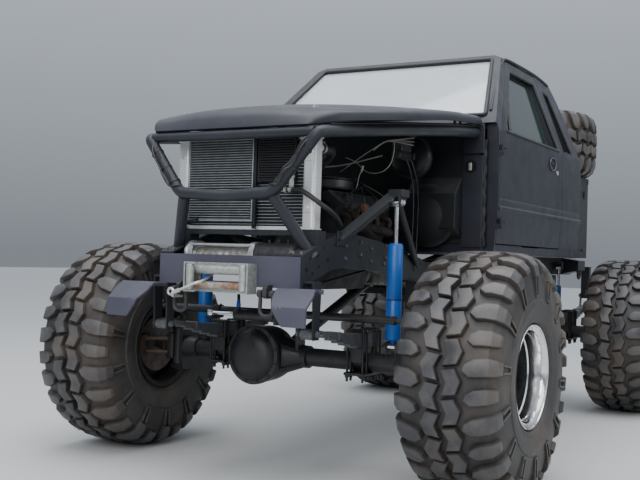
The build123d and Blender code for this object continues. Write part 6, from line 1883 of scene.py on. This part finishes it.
def bench():
    """Bench seat: base, and stuffed cushion and backrest with sewn channels."""
    pads = (
        # name, outline in y and z
        ("seat_cushion", ((1.305, 1.30), (1.30, 1.395), (1.345, 1.425), (1.70, 1.405), (1.735, 1.38),
                          (1.73, 1.30))),
        ("seat_back", ((1.722, 1.412), (1.80, 1.41), (1.895, 1.86), (1.875, 1.892), (1.825, 1.888),
                       (1.80, 1.85))),
    )
    for name, outline in pads:
        bm = bmesh.new()
        plate(bm, [(-0.585, y, z) for y, z in outline], (1.17, 0, 0))
        bmesh.ops.recalc_face_normals(bm, faces=bm.faces)
        bm = swollen(bm, name, 0.012)
        for vert in bm.verts:
            groove = abs(((vert.co.x / 0.117) % 1.0) - 0.5)
            depth = 0.010 * max(0.0, 1 - groove / 0.09) ** 2
            vert.co -= vert.normal * depth
        pad = piece(name, bm, SEAT_VINYL, ("bench_seat",), corner=180)
        smooth = pad.modifiers.new("rounded", "SUBSURF")
        smooth.levels = smooth.render_levels = 1
    bm = bmesh.new()
    block(bm, (-0.57, 1.31, 1.137), (0.57, 1.72, 1.298), 0.02, 3)
    block(bm, (-0.57, 1.70, 1.137), (0.57, 1.84, 1.36), 0.02, 3)
    piece("seat_base", bm, DASH_PLASTIC, soften=0.001)


def carrier():
    """Steel box behind the cab with its lids, latches and hinges, and the bolt that holds the spare."""
    dressed("spare_carrier", FRAME_PAINT, 0.004)
    bm = bmesh.new()
    for x0, x1 in ((-0.57, -0.02), (0.02, 0.57)):
        block(bm, (x0, 3.2495, 1.18), (x1, 3.254, 1.62), 0.003)
        for x in (x0 + 0.09, x1 - 0.09):
            block(bm, (x - 0.02, 3.253, 1.52), (x + 0.02, 3.262, 1.58), 0.003)
            rod(bm, (x - 0.03, 3.256, 1.18), (x + 0.03, 3.256, 1.18), 0.0065)
    for side in (-1, 1):
        block(bm, *corners_of(at(side * 0.5995, 2.48, 1.16), at(side * 0.604, 3.21, 1.62)), 0.003)
        for y in (2.56, 2.845, 3.13):
            block(bm, *corners_of(at(side * 0.6035, y - 0.02, 1.545), at(side * 0.613, y + 0.02, 1.60)),
                  0.003)
            rod(bm, (side * 0.606, y - 0.03, 1.16), (side * 0.606, y + 0.03, 1.16), 0.0065)
    for y in (2.46, 2.85, 3.235):
        block(bm, (-0.603, y - 0.02, 1.66), (0.603, y + 0.015, 1.7025), 0.002)
    piece("carrier_lids", bm, FRAME_PAINT, soften=0.0012)
    bm = bmesh.new()
    x, y, _ = SPARE_AT
    rod(bm, (x, y, 1.69), (x, y, 2.03), 0.012)
    turned(bm, [(1.995, 0.012), (1.995, 0.06), (2.0, 0.063), (2.006, 0.03), (2.02, 0.026), (2.02, 0.012)],
           Matrix.Translation(at(x, y, 0)), 32, True)
    for angle in (0, pi / 2):
        way = Vector((cos(angle), sin(angle), 0)) * 0.055
        rod(bm, at(x, y, 2.024) - way, at(x, y, 2.024) + way, 0.0065)
    piece("spare_bolt", bm, SHACKLE_STEEL, soften=0)


def tail():
    """Shackles on the tow brackets."""
    bm = bmesh.new()
    for side in (-1, 1):
        x, z = side * 0.522, 1.012
        y = 3.42
        rod(bm, (side * 0.50, y, z + 0.035), (side * 0.50, y, z - 0.03), 0.0095)
        pipe(bm, [(side * 0.50, y - 0.034, z + 0.02), (side * 0.50, y - 0.036, z - 0.03),
                  (side * 0.50, y - 0.026, z - 0.062), (side * 0.50, y, z - 0.072),
                  (side * 0.50, y + 0.026, z - 0.062), (side * 0.50, y + 0.036, z - 0.03),
                  (side * 0.50, y + 0.034, z + 0.02)], 0.0088, 5)
        for along in (-0.034, 0.034):
            rod(bm, (x - side * 0.006, y + along, z + 0.024), (x - side * 0.038, y + along, z + 0.024), 0.016)
    piece("tail_shackles", bm, SHACKLE_STEEL)


place_camera()
studio()
wheels()
brakes()
springs()
axles()
shocks()
shock_towers()
knuckles()
tie_rod()
steering_ram()
frame_rails()
crossmembers()
guard()
bumper()
winch()
fairlead()
shackles()
cable()
radiator()
oil_coolers()
hoses()
engine()
ignition()
gearbox()
exhaust()
booster()
hood()
doors()
cab()
marker_lamps()
cabin()
bench()
carrier()
tail()
